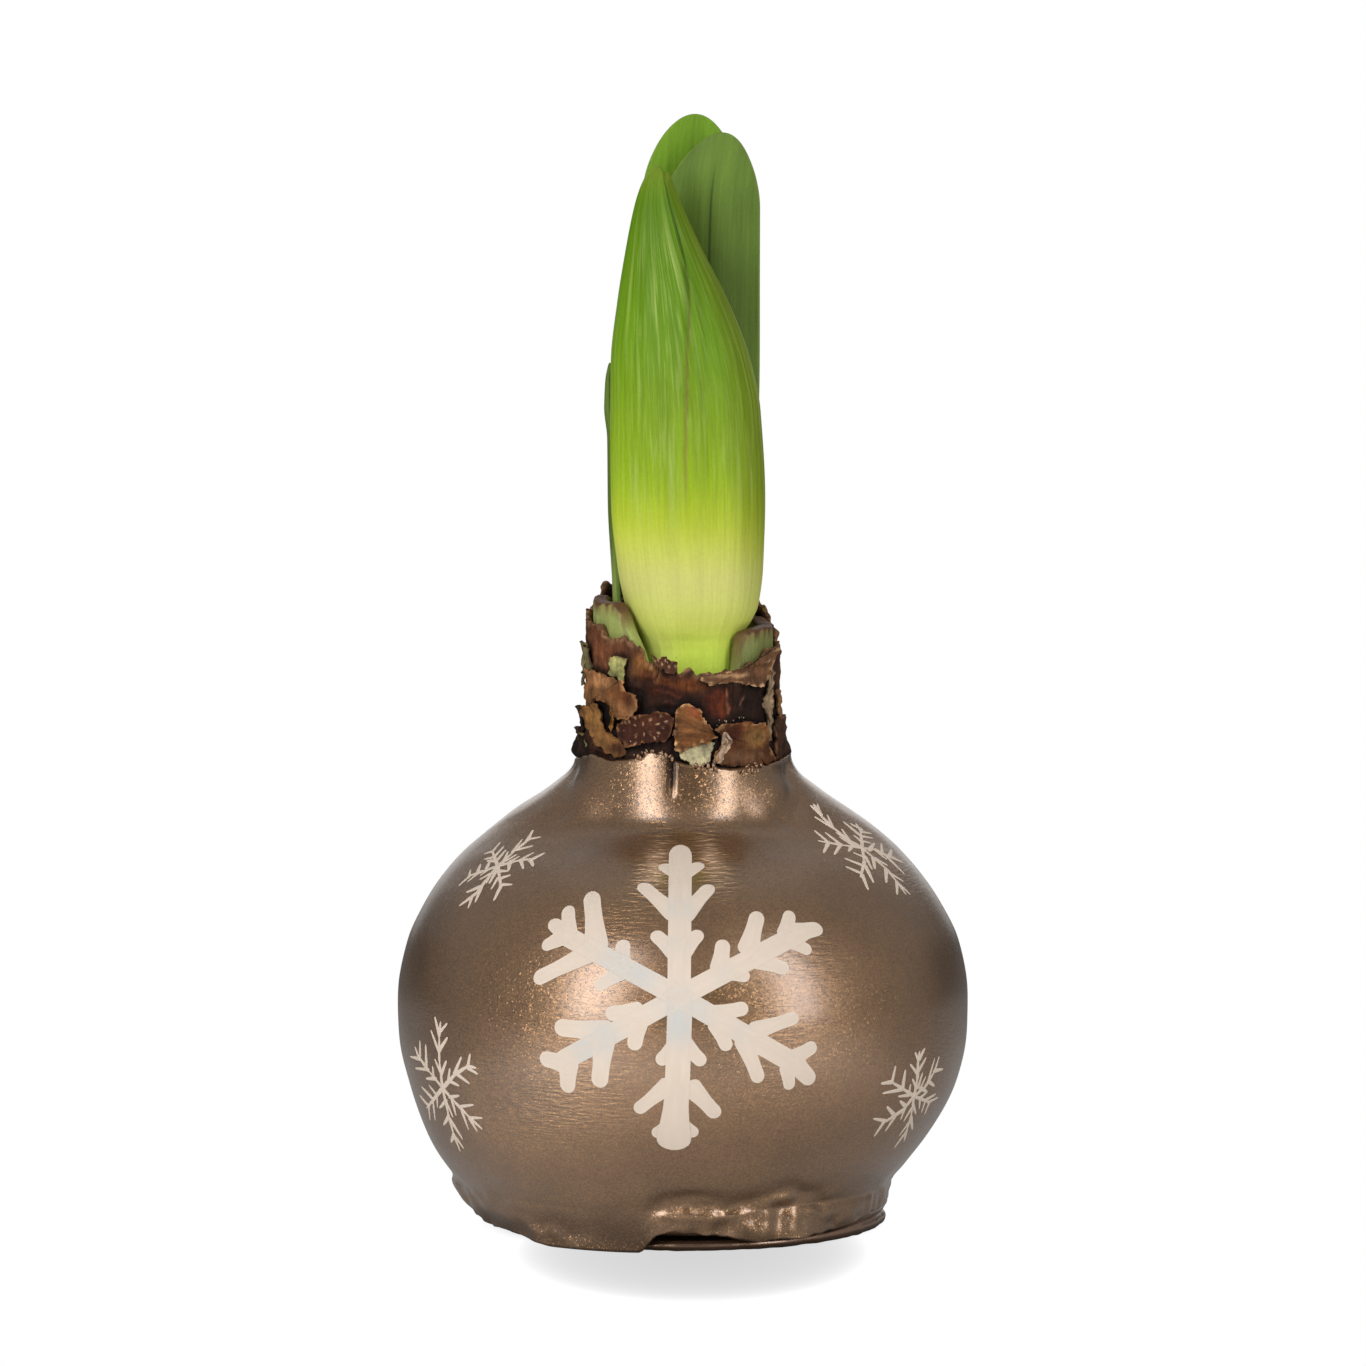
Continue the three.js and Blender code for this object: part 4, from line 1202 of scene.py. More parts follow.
def fleshRings():
    azimuth = fromBack(flesh["turns"])
    outer, inner = flesh["neckRadius"], flesh["neckRadius"] - flesh["scaleWall"]
    foot, floor = flesh["neckFoot"], flesh["floor"]
    rim = readRound(scaleRim, azimuth)[:, 1] + layered(roundPoints(azimuth, 14, 0), flesh["rimNoise"])
    edge = rim - flesh["rimRound"]
    pairs = [(outer, foot + (edge - foot) * share) for share in np.linspace(0, 1, 16)]
    for turn in (0.1, 0.35, 0.7, 1.3, 1.85, 2.4, 2.9):
        side = math.copysign(abs(math.cos(turn)) ** 0.4, math.cos(turn))
        pairs.append(((outer + inner + (outer - inner) * side) / 2, edge + 0.7 * math.sin(turn) ** 0.8))
    pairs += [(inner, edge + (floor + 0.4 - edge) * share) for share in np.linspace(0, 1, 14)[1:]]
    for radius in np.linspace(inner - 0.3, 0, 34):
        ridges = [rise * bell(radius + 0.5 * np.cos(np.radians(2 * azimuth + ring * 40)) - ring, 0.45)
                  for ring, rise in flesh["scaleRings"]]
        pairs.append((radius, floor + sum(ridges) * (radius > 0.1)))
    rings = np.vstack([bodyRings(bulbBody, azimuth, flesh["leastBody"]), asRings(pairs, azimuth)])
    spots = roundPoints(azimuth, *rings.transpose(1, 0, 2))
    tint = flesh["green"] + 14 * lumps(spots, 3.5, 6, (1, 1, 0.3))[..., None]
    tint = tint * (1 - 0.16 * sector(azimuth, -30, 20, 50))[:, None]
    aloft = 1 - sector(azimuth, -90, 36, 46)
    uneven = spots[..., 2] + 0.7 * lumps(spots, 1.0, 8)
    for low, high, colour, most in fleshCrusts:
        tint = towards(tint, colour, softStep(uneven, rim + low, rim + high) * aloft * most)
    return spots, tint, spots * np.array([1, 1, 0.1])


def withTint(values):  # sRGB numbers for each point as a linear colour mark
    linear = toLinear(np.clip(values, 4, 250))
    return np.concatenate([linear, np.ones((*linear.shape[:-1], 1))], axis=-1)


plantLooks = {  # roughness, gloss, size, shade and depth of the veins, shade of the grain
    "bulbFlesh": (0.5, 0.25, 0.4, 0.12, 0.02, 0.12),
    "drySkin": (0.6, 0.12, 0.26, 0.3, 0.035, 0.26),
    "budSkin": (0.45, 0.14, 0.28, 0.13, 0.012, 0.05),
    "leafSkin": (0.5, 0.12, 0.3, 0.1, 0.012, 0.06),
}


# Skin of a living or dry plant part: its tint mark, with veins along its flow mark (millimetres across
# and along the surface, shortened along), fine grain and, where it is streaky, pale streaks
def plantFinish(name, streak=None):
    roughness, gloss, veinSize, veinShade, veinDepth, grainShade = plantLooks[name]
    look = Finish(name)
    colour = look.mark("tint", "Color")
    flow = look.mark("flow")
    strength = look.mark("veiny", "Fac")
    if streak:
        broad = look.grain(1.5, vector=flow, detail=3.0, shift=7.0).step(0.5, 0.68)
        thin = look.grain(0.5, vector=flow, detail=2.0, shift=2.0).step(0.5, 0.66)
        share = (broad * 0.62 + thin * 0.38) * look.mark("streaky", "Fac")
        colour = look.mix(share, colour, streak)
    fine = look.grain(veinSize, vector=flow, detail=3.0).step(0.34, 0.66)
    vein = look.grain(veinSize * 3, vector=flow, detail=2.0, shift=4.0).step(0.34, 0.66)
    grain = look.grain(0.5, detail=3.0, shift=5.0).step(0.3, 0.7)
    colour = look.shade(colour, (fine + vein - 1.0) * strength * veinShade + 1.0)
    colour = look.shade(colour, grain.about(1, grainShade))
    normal = look.bump(fine, veinDepth)
    normal = look.bump(vein, veinDepth * 2, normal)
    normal = look.bump(grain, veinDepth, normal)
    rough = look.grain(3, shift=8.0).about(roughness, 0.2)
    return look.close(Base_Color=colour, Roughness=rough, Normal=normal, Specular_IOR_Level=gloss)


def plantMarks(tint, flow, veiny=1.0, **others):
    return dict(tint=withTint(tint), flow=flow, veiny=veiny + 0 * tint[..., :1], **others)


fleshSkin = plantFinish("bulbFlesh")
spots, tint, flow = fleshRings()
place(loft("bulbFlesh", spots, **plantMarks(tint, flow)), fleshSkin, "bulb_flesh", "bulb")


# Dry skins round the neck: a wrinkled sheath, and the torn flakes that peel off it

skins = {
    "turns": 340,
    "rings": 76,
    "radius": 15.3,
    "least": 14.85,
    "inner": 14.5,
    "foot": 70.1,
    "rim": 0.12,  # how far the outer face ends under the rim
    "wander": 1.0,
    "dark": (52, 32, 23),
    "frayed": (158, 126, 98),
    "warm": (1.03, 0.95, 0.84),
    "shadowReach": 0.75,
    "shadowDepth": 0.55,
    "flakeRadius": 15.6,
    "flakeThickness": 0.26,
    "flakeTurns": 120,
    "flakeRings": 11,
    "farRoot": (0, -40),
    "fibres": (0.3, 0.14),  # how strong on flakes with a root of their own, then on the others
    "fleck": (186, 162, 138),
    "fleckSize": (0.5, 0.3),
}

backFlakes = {
    "count": 12,
    "azimuths": (28, 146),
    "heights": (77.5, 92),
    "halfWidths": (6, 13),
    "halfHeights": (2.2, 4.4),
    "corners": 9,
    "lifts": (0.2, 0.7),
    "curls": (0.2, 0.5),
    "colours": [(172, 132, 84), (88, 58, 48), (150, 118, 70), (60, 40, 32), (178, 138, 98), (104, 66, 44)],
    "seed": 21,
}

skinNoise = {  # rows of strength, size, seed and squeeze
    "torn": [(0.7, 2.6, 41), (0.49, 0.8, 42), (0.245, 0.4, 39)],
    "folds": [(0.3, 2.6, 43, (1, 1, 0.3)), (0.16, 1.0, 44, (1, 1, 0.3)), (0.2, 1.6, 45, (0.35, 0.35, 1.5)),
              (0.1, 0.7, 40)],
    "wideFlare": [(0.3, 3.0, 46)],
    "flare": [(0.45, 1.1, 38)],
    "mottle": [(0.17, 0.9, 37), (0.119, 2.4, 36, (0.5, 0.5, 1))],
}

skinWall = [[69, 16.1], [70.1, 16.1], [73, 15.8], [78, 15.4], [84, 15.3], [104, 15.3]]  # height, radius

skinRim = [  # azimuth, height of the torn upper edge
    [-167, 95.6], [-150, 95.0], [-140, 93.6], [-126, 92.9], [-118, 92.2], [-114.5, 91.7], [-112.5, 90.0],
    [-103, 89.8], [-94.5, 89.4], [-92.5, 88.2], [-86, 88.5], [-80, 87.9], [-68, 88.4], [-55, 88.2],
    [-46, 89.4], [-38, 89.5], [-33, 90.2], [-28, 91.8], [-20, 91.4], [-12, 91.0], [5, 92.0], [24, 95.5],
    [40, 98.4], [62, 97.2], [90, 98.6], [118, 98.4], [142, 100.8], [162, 97.6],
]

skinPatches = [  # azimuth, height, half widths in degrees and in height, colour
    (-150, 91.0, 32, 4.6, (108, 71, 50)), (-113, 89.2, 10, 1.9, (128, 90, 54)),
    (-98, 89.6, 6, 0.9, (92, 62, 48)), (-100, 85.0, 14, 2.2, (50, 25, 16)),
    (-90, 82.6, 20, 2.0, (38, 21, 16)), (-84, 86.3, 12, 1.1, (100, 60, 34)),
    (-69, 83.4, 7, 2.3, (82, 40, 26)), (-66, 82.6, 3, 1.8, (112, 56, 34)), (-47, 83.2, 13, 3.4, (38, 25, 20)),
    # The near-black patch at -138 is painted shade: a black hole in the skins.
    (-60, 87.4, 18, 1.0, (130, 100, 78)), (-138, 81.8, 7, 1.8, (20, 13, 11)),
    (-125, 75.8, 26, 0.9, (38, 26, 20)), (-20, 88, 12, 4.0, (66, 45, 32)), (181, 76, 16, 3.4, (40, 28, 21)),
    (-4, 76, 14, 3.4, (58, 41, 31)), (-12, 86, 9, 6, (52, 37, 30)), (8, 86, 20, 5, (88, 58, 40)),
    (40, 92, 18, 5, (58, 36, 26)), (58, 81, 16, 4, (110, 76, 48)), (84, 89, 24, 6, (80, 50, 36)),
    (120, 93, 20, 5, (104, 74, 50)), (126, 80, 18, 4, (62, 38, 28)), (158, 88, 16, 5, (70, 44, 32)),
]

flakePatches = [
    (-122, 84.2, 6, 1.0, (84, 50, 32)), (-146, 86.4, 14, 1.0, (156, 120, 86)),
    (-131, 84.6, 6, 1.4, (106, 72, 46)), (-148, 80.6, 8, 1.6, (146, 112, 68)),
    (-130, 76.2, 8, 1.0, (78, 52, 32)), (-62, 87.6, 14, 0.4, (166, 138, 112)),
    (-46, 77.9, 9, 1.9, (132, 104, 66)), (-54, 74.8, 16, 1.1, (106, 80, 62)),
    (-61, 78.2, 5, 1.6, (66, 37, 26)), (-100, 79.4, 6, 1.4, (60, 34, 26)), (-84, 82.6, 5, 1.2, (140, 86, 58)),
    (-82, 77.9, 9, 0.8, (92, 62, 38)),
]

whiteFlecks = [  # azimuth, height of the pale dashes on the dark flake
    (-123.4, 80.3), (-120.9, 80.5), (-117.8, 80.0), (-117.2, 81.1), (-114.0, 81.4), (-107.8, 81.0),
    (-103.8, 80.4), (-111.9, 78.6), (-108.1, 78.8), (-103.6, 78.9), (-100.6, 79.6), (-117.2, 78.3),
    (-117.7, 77.1), (-105.8, 78.1), (-98.8, 80.7), (-112.4, 80.2), (-101.8, 81.6), (-107.6, 90.4),
    (-103.8, 90.2), (-99.8, 90.2), (-95.9, 90.0), (-94.4, 89.3), (-101.8, 89.6), (-97.9, 89.2),
    (-105.4, 90.0),
]

skinBulges = [  # azimuth, height, half widths in degrees and in height, how far out
    (182, 75.4, 14, 2.8, 2.1), (-3, 74.9, 12, 2.6, 1.5), (178, 80.0, 9, 1.6, 0.5),
]

skinLines = [  # how far a fold stands out, half width, colour, then azimuth and height
    (0.4, 0.4, (100, 58, 34), [(-116, 87.8), (-95, 86.9), (-78, 86.5)]),
    (0.2, 0.25, (84, 46, 30), [(-104, 85.2), (-92, 84.4)]),
    (0.2, 0.25, (70, 38, 26), [(-100, 83.4), (-88, 82.9)]),
    (0.4, 0.3, (160, 122, 86), [(-107.6, 90.0), (-108.2, 88.8), (-107.2, 87.4)]),
    (0.4, 0.3, (146, 108, 76), [(-103.6, 89.6), (-102.8, 88.6), (-104.0, 87.4)]),
    (-0.5, 0.24, (26, 16, 12), [(-105.6, 89.9), (-105.4, 87.5)]),
    (0.1, 0.08, (140, 92, 72), [(-62.4, 86.0), (-62.0, 81.2)]),
    (0.1, 0.1, (120, 92, 80), [(-52, 84.6), (-53, 82.2)]),
    (0.3, 0.35, (66, 46, 36), [(-156, 75.9), (-128, 75.3), (-100, 75.8)]),
    (0.35, 0.4, (92, 60, 40), [(12, 94), (30, 88), (36, 80)]),
    (0.3, 0.4, (90, 58, 38), [(74, 95), (70, 86), (78, 77)]),
    (0.35, 0.4, (82, 52, 38), [(108, 96), (116, 88), (110, 79)]),
    (0.3, 0.4, (84, 56, 40), [(150, 95), (146, 84)]),
]

# Colour, edge colour, lift, curl, side that lifts (degrees, 0 right, 90 up), azimuths and heights of the
# outline, and for some a root or a thickness of their own
flakeRows = [
    ((128, 94, 64), (160, 124, 90), 0.9, 0.6, 0, [
        (-170, 87.9), (-154, 88.1), (-140, 87.6), (-125, 86.7), (-121, 85.2), (-115, 84.7), (-114, 83.9),
        (-115, 82.3), (-120, 81.1), (-125, 80.8), (-132, 81.5), (-134, 82.6), (-143, 83.6), (-155, 83.3),
        (-160, 81.6), (-171, 81.3)]),
    ((130, 98, 62), (92, 66, 42), 0.7, 0.5, 180, [
        (-160, 82.6), (-147, 82.9), (-143, 80.8), (-137, 78.5), (-129, 77.5), (-124, 76.0), (-129, 74.9),
        (-137, 75.5), (-149, 77.2), (-159, 79.4), (-163, 81.2)]),
    ((66, 38, 28), (140, 104, 76), 0.9, 0.6, 60, [
        (-129, 79.9), (-123, 81.1), (-114, 81.9), (-106, 81.9), (-103, 82.3), (-98, 82.0), (-95, 81.0),
        (-96, 79.7), (-97, 78.3), (-104, 77.5), (-114, 77.0), (-123, 76.4), (-128, 77.0), (-131, 78.3)]),
    ((150, 112, 62), (176, 140, 88), 0.9, 0.3, 0, [
        (-138, 83.4), (-132, 82.1), (-130, 80.7), (-132, 79.5), (-136, 78.5), (-137, 79.3), (-134, 80.4),
        (-134, 81.6)]),
    ((184, 172, 132), (150, 136, 92), 0.3, 0.2, 270, [
        (-92, 76.2), (-86, 76.8), (-78, 77.3), (-72, 77.5), (-73, 75.9), (-76, 74.3), (-82, 73.9),
        (-88, 74.4), (-92, 75.1)]),
    ((118, 84, 54), (178, 146, 114), 0.8, 0.9, 90, [
        (-95, 81.3), (-94, 82.4), (-90, 83.3), (-86, 83.5), (-82, 82.8), (-79, 81.3), (-75, 79.6),
        (-71, 78.1), (-73, 77.5), (-80, 77.0), (-88, 76.5), (-92, 76.0), (-95, 76.2),
        (-95, 78.3)], {"root": (4.5, -1.6)}),
    ((92, 60, 40), (158, 128, 100), 0.9, 0.6, 90, [
        (-73, 79.6), (-68, 80.3), (-61, 80.1), (-55, 80.5), (-48, 80.0), (-38, 79.9), (-37, 78.6),
        (-31, 76.1), (-28, 74.1), (-35, 73.4), (-46, 73.2), (-56, 73.4), (-65, 73.6), (-71, 74.1),
        (-72, 75.3), (-68, 76.6), (-65, 77.9), (-69, 78.5)]),
    ((186, 158, 130), (214, 192, 166), 1.3, 0.3, 0, [
        (-73, 74.2), (-70, 75.8), (-68, 76.9), (-67, 78.0), (-68, 78.8), (-66, 78.8), (-64, 77.9),
        (-66, 76.6), (-68, 75.5), (-69, 74.2)]),
    ((160, 134, 104), (116, 88, 64), 0.3, 0.3, 0, [
        (-31, 88.2), (-28, 87.6), (-29, 84.4), (-28, 81.7), (-30, 79.3), (-32, 77.2), (-35, 77.0),
        (-33, 79.1), (-35, 81.8), (-36, 83.8), (-33, 85.6)]),
    ((112, 84, 64), (188, 160, 132), 0.3, 0.8, 90, [
        (-79, 87.6), (-71, 88.1), (-64, 88.3), (-56, 88.2), (-55, 88.8), (-46, 89.2), (-38, 89.3),
        (-31, 90.4), (-27, 91.7), (-25, 90.9), (-29, 89.1), (-32, 87.2), (-37, 85.7), (-44, 85.8),
        (-51, 86.2), (-58, 86.6), (-67, 86.5), (-74, 86.5), (-79, 87.0)]),
    ((94, 64, 50), (186, 160, 134), 0.4, 0.8, 90, [
        (-108, 90.9), (-104, 90.4), (-100, 90.5), (-94, 90.2), (-93, 88.8), (-95, 88.0), (-100, 88.6),
        (-104, 89.3)]),
    ((156, 152, 94), (140, 118, 76), 0.2, 0.2, 90, [
        (-134, 90.4), (-128, 90.5), (-124, 90.1), (-125, 88.6), (-127, 86.7), (-132, 87.5), (-138, 88.0),
        (-137, 89.3)]),
    ((150, 148, 84), (110, 92, 56), 0.4, 0.4, 180, [
        (-179, 77.3), (-175, 77.8), (-166, 77.6), (-160, 75.6), (-160, 74.6), (-166, 74.2), (-179, 74.4)]),
    ((120, 110, 74), (92, 66, 44), 0.0, 0.1, 180, [
        (-176, 91.4), (-164, 91.6), (-159, 90.0), (-157, 88.2), (-163, 87.2), (-176, 87.4)]),
    ((34, 24, 20), (62, 44, 33), 0.9, 0.2, 90, [
        (170, 81.6), (184, 81.8), (192, 80.4), (190, 77.6), (174, 77.2)], {"thick": 0.7}),
    ((48, 34, 26), (100, 74, 54), 0.7, 0.2, 90, [
        (166, 77.6), (180, 78.4), (188, 77.4), (190, 74.6), (182, 73.3), (166, 73.6)], {"thick": 0.9}),
    ((70, 50, 38), (124, 94, 70), 0.2, 0.1, 90, [
        (-24, 80.5), (-10, 80.8), (-1, 78.4), (-2, 74.8), (-14, 73.6), (-26, 74.0)], {"thick": 0.7}),
    ((150, 120, 90), (112, 84, 62), 0.1, 0.1, 0, [
        (-20, 85.0), (-15, 84.6), (-12, 80.0), (-13, 76.4), (-18, 76.0), (-17, 80.5)]),
    ((104, 98, 62), (120, 96, 62), 0.1, 0.1, 180, [
        (178, 91.8), (188, 92.2), (193, 89), (191, 85.6), (178, 85.2)]),
]


def wobbled(spots, amount):  # azimuth and height of points, shifted so that edges of patches wander
    azimuth = np.degrees(np.arctan2(spots[..., 1], spots[..., 0]))
    azimuth = azimuth + amount * 4 * lumps(spots, 2.1, 31)
    return azimuth, spots[..., 2] + amount * lumps(spots, 1.9, 32)


def painted(tint, azimuth, height, patches):
    for middle, level, wide, high, colour in patches:
        away = (aside(azimuth, middle) / wide) ** 2 + ((height - level) / high) ** 2
        tint = towards(tint, colour, bell(away, 1))
    return tint


def besideFlakes(azimuth, height):  # 1 at the outline of a flake, where its shadow falls
    near = [nearLine(azimuth, height, skins["radius"], [*row[5], row[5][0]]) for row in flakeRows]
    return bell(np.min(near, axis=0), skins["shadowReach"])


def sheathShape(azimuth, around, rim):  # points up the creased outer face, over the rim and down inside
    foot, level = skins["foot"], skins["radius"]
    height = foot + (rim - skins["rim"] - foot) * np.linspace(0, 1, skins["rings"])[:, None]
    radius = readRows(skinWall, height)[..., 1]
    spots = roundPoints(azimuth, radius, height)
    folds = layered(around, skinNoise["wideFlare"]) + layered(spots, skinNoise["flare"])
    folds = layered(spots, skinNoise["folds"]) + folds * softStep(height, rim - 3.5, rim)
    folds = (folds + spread(azimuth, height, skinBulges)) * softStep(height, 71, 75)
    lines = besideLines(azimuth, height, level, [(out, half, line) for out, half, _, line in skinLines])
    outer = np.maximum(radius + folds + lines, skins["least"])
    over = [roundPoints(azimuth, outer[-1] - inward, rim - drop)
            for inward, drop in ((0.16, 0), (0.31, 0.02))]
    down = [roundPoints(azimuth, skins["inner"], foot + (rim - 0.2 - foot) * at)
            for at in np.linspace(1, 0, 24)]
    return np.array([*roundPoints(azimuth, outer, height), *over, *down])


def sheathRings():
    azimuth = fromBack(skins["turns"])
    around = roundPoints(azimuth, skins["radius"], 0)
    rim = readRound(skinRim, azimuth)[:, 1] + layered(around, skinNoise["torn"])
    spots = sheathShape(azimuth, around, rim)
    turned, tall = wobbled(spots, skins["wander"])
    tint = skins["dark"] + 14 * lumps(spots, 2.2, 47, (1, 1, 0.3))[..., None]
    tint = painted(tint, turned, tall, skinPatches)
    for _, half, colour, line in skinLines:
        tint = towards(tint, colour, 0.8 * bell(nearLine(turned, tall, skins["radius"], line), half))
    tint = tint * (1 + layered(spots, skinNoise["mottle"])[..., None])
    height = spots[..., 2]
    tint = tint * (1 - skins["shadowDepth"] * besideFlakes(azimuth, height))[..., None]
    frayed = softStep(height + 0.9 * lumps(spots, 1.0, 48), rim - 1.3, rim - 0.1)
    pale = skins["frayed"] * (0.8 + 0.5 * lumps(spots, 0.7, 35)[..., None])
    tint = towards(tint, pale, frayed * 0.85)
    return spots, tint * skins["warm"], spots * np.array([1, 1, 0.16])


def flakeEdge(outline, seed):  # the middle of a flake, and its torn edge in millimetres right and up of that
    corners = np.array(outline, float)
    middle = (corners.max(axis=0) + corners.min(axis=0)) / 2
    local = (corners - middle) * (math.radians(1) * skins["flakeRadius"], 1)
    after = np.roll(local, -1, axis=0)
    if np.sum(local[:, 0] * after[:, 1] - local[:, 1] * after[:, 0]) < 0:
        local = local[::-1]
    edge = smoothPath(np.vstack([local, local[:1]]), skins["flakeTurns"] + 1, soften=0.15)[:-1]
    flat = pointsOf(*edge.T, seed * 3.3)
    torn = [layered(flat, [(0.45, 1.3, seed + turn), (0.3, 0.45, seed + turn + 2)]) for turn in (0, 1)]
    return middle, edge + np.column_stack(torn)


def flakeTint(colour, edgeColour, seed, where, tilt, share, fibre):
    # Painted light: the side of a flake that lifts is made lighter.
    tint = np.array(colour) * (0.86 + 0.2 * tilt + 0.24 * lumps(where, 3.2, seed + 10))[..., None]
    tint = painted(tint, *wobbled(where, 0.6), flakePatches)
    flecks = [(*spot, *skins["fleckSize"], skins["fleck"]) for spot in whiteFlecks]
    tint = painted(tint, *wobbled(where, 0), flecks)
    tint = towards(tint, edgeColour, softStep(share + 0.3 * lumps(where, 0.9, seed + 7), 0.88, 1.08))
    grain = 1 + layered(where, [(0.22, 1.8, seed + 8), (0.16, 0.6, seed + 9)]) + fibre
    tint = tint * (skins["warm"] if colour[0] > 1.2 * colour[1] else 1)
    return tint * np.clip(grain, 0.4, 1.4)[..., None]


# A flake has rings from the middle of its inner face out to its edge and back over its outer face.
# Its fibres run out from a root, in millimetres from its middle.
def flakeParts(colour, edgeColour, lift, curl, side, outline, seed,
               root=skins["farRoot"], thick=skins["flakeThickness"]):
    middle, edge = flakeEdge(outline, seed)
    way = np.array([math.cos(math.radians(side)), math.sin(math.radians(side))])
    shares = np.linspace(0, 1, skins["flakeRings"]) ** 0.75
    share = np.array([*shares[:-1], 0.99, 1.0, 0.99, *shares[-2::-1]])[:, None]
    face = np.sign(np.arange(len(share)) - skins["flakeRings"])[:, None]
    spot = edge * share[..., None]
    azimuth = middle[0] + spot[..., 0] / (math.radians(1) * skins["flakeRadius"])
    height = middle[1] + spot[..., 1]
    wall = readRows(skinWall, height)[..., 1]
    where = roundPoints(azimuth, wall, height)
    tilt = 0.5 + 0.5 * (spot @ way) / np.abs(edge @ way).max()
    crumple = layered(where, [(0.3, 2.2, seed + 5), (0.2, 0.9, seed + 6, (1, 1, 0.5))])
    crumple += 0.7 * share ** 5 * lumps(where, 1.1, seed + 11)
    radius = wall + 0.3 + lift * tilt ** 1.5 + curl * share ** 4 * tilt + crumple
    radius = np.maximum(radius + face * thick / 2, wall - 0.4)
    fromRoot = spot - root
    turn = np.arctan2(fromRoot[..., 1] * root[0] - fromRoot[..., 0] * root[1], -fromRoot @ root)
    along = np.linalg.norm(fromRoot, axis=-1)
    flow = pointsOf(turn * np.linalg.norm(root), seed * 2.7, along * 0.12)
    fibre = skins["fibres"][root == skins["farRoot"]] * lumps(flow, 0.75, seed + 12)
    tint = flakeTint(colour, edgeColour, seed, where, tilt, share, fibre)
    # Painted shade: the inner face of a flake is darker.
    return roundPoints(azimuth, radius, height), tint * np.where(face > 0, 1.0, 0.7)[..., None], flow


def drawnFlakes():  # flakes round the back
    draw = random.Random(backFlakes["seed"])
    first, last = backFlakes["azimuths"]
    rows = []
    for number in range(backFlakes["count"]):
        azimuth = first + (last - first) * (number + draw.random()) / backFlakes["count"]
        height, wide, tall = [draw.uniform(*backFlakes[key])
                              for key in ("heights", "halfWidths", "halfHeights")]
        turns = np.sort([draw.uniform(0, 2 * math.pi) for _ in range(backFlakes["corners"])])
        outline = [(azimuth + wide * math.cos(turn) * draw.uniform(0.75, 1.1),
                    height + tall * math.sin(turn) * draw.uniform(0.75, 1.1)) for turn in turns]
        colour = draw.choice(backFlakes["colours"])
        lift, curl = [draw.uniform(*backFlakes[key]) for key in ("lifts", "curls")]
        pale = tuple(value * 0.8 + 44 for value in colour)
        rows.append((colour, pale, lift, curl, draw.uniform(0, 360), outline))
    return rows


drySkin = plantFinish("drySkin")
spots, tint, flow = sheathRings()
place(loft("skinSheath", spots, ringed=True, **plantMarks(tint, flow)), drySkin, "dry_skin", "tunic")
parts = []
for number, row in enumerate(flakeRows + drawnFlakes()):
    spots, tint, flow = flakeParts(*row[:6], 50 + number * 3, **dict(*row[6:]))
    parts.append(loftParts(spots, **plantMarks(tint, flow, 0.8 if "root" in dict(*row[6:]) else 0.4)))
place(joined("skinFlakes", parts), drySkin, "dry_skin", "tunic")


# Crumbs of dry skin and wax

crumbLook = {
    "dark": paint(70, 46, 34),
    "light": paint(196, 172, 140),
    "roughness": 0.8,
    "grainShade": 0.4,
    "grainDepth": 0.05,
}

crumbSizes = {  # between crumbs, how far they stray, smallest and largest half widths
    "skinCrumbs": {"Spacing": 0.4, "Jitter": 0.7, "Smallest": 0.05, "Largest": 0.17},
    "rimCrumbs": {"Spacing": 0.34, "Jitter": 0.5, "Smallest": 0.2, "Largest": 0.55},
}

skinCrumbPaths = [  # azimuths and heights on the skins
    [(-124, 79.4), (-116, 80.6), (-108, 79.2), (-102, 80.4), (-98, 79)],
    [(-122, 77.6), (-112, 78.4), (-102, 78.2)], [(-106, 90), (-100, 90.2), (-94, 89.8)],
    [(-72, 80.2), (-60, 80.6), (-48, 80.4)], [(-114, 75.9), (-100, 76.2)], [(20, 84), (34, 86), (46, 85)],
    [(96, 82), (112, 83)],
]

rimPaths = [  # azimuths, heights and radii of lumps of wax along the rim
    [(-116, 74.9, 17.2), (-108, 75.9, 17.2), (-101, 75.6, 17.2), (-96.5, 75, 17.2)],
    [(-84, 73.8, 17.3), (-72, 73.4, 17.3)], [(-60, 73.2, 17.3), (-44, 73.3, 17.3)],
    [(120, 73.7, 17.2), (150, 73.5, 17.2)],
]


def crumbRecipe():
    recipe = Recipe("crumbTrail", Spacing="Float", Jitter="Float", Smallest="Float", Largest="Float",
                    Seed="Int", Finish="Material")
    given = recipe.given
    line = recipe.line(given["Spacing"])
    shift = recipe.draw((-1, -1, -1), (1, 1, 1), given["Seed"])
    shift = recipe.vector("SCALE", shift, given["Jitter"])
    line = recipe.node("GeometryNodeSetPosition", sockets={"Geometry": line, "Offset": shift})
    size = recipe.draw(given["Smallest"], given["Largest"], given["Seed"])
    turn = recipe.draw((0, 0, 0), (0.6, 0.6, 6.28), 3)
    line = recipe.keep(line, "shade", recipe.draw(0.0, 1.0, 5))
    crumb = recipe.node("GeometryNodeMeshIcoSphere", sockets={"Radius": 1.0, "Subdivisions": 1})
    scale = recipe.node("ShaderNodeCombineXYZ", sockets=[size * 0.7, size * 0.7, size * 1.3])
    sockets = {"Points": line, "Instance": crumb, "Rotation": turn, "Scale": scale}
    recipe.end(recipe.node("GeometryNodeInstanceOnPoints", sockets=sockets), given["Finish"])
    return recipe


def crumbFinish(name):
    look = Finish(name)
    colour = look.mix(look.mark("shade", "Fac").step(0.2, 0.9), crumbLook["dark"], crumbLook["light"])
    grain = look.grain(0.3)
    colour = look.shade(colour, grain.about(1, crumbLook["grainShade"]))
    normal = look.bump(grain, crumbLook["grainDepth"])
    return look.close(Base_Color=colour, Roughness=crumbLook["roughness"], Normal=normal)


def onSkin(path):
    azimuth, height = np.array(path, float).T
    return roundPoints(azimuth, readRows(skinWall, height)[:, 1] + 0.5, height)


def onRim(path):
    azimuth, height, radius = np.array(path, float).T
    return roundPoints(azimuth, radius, height)


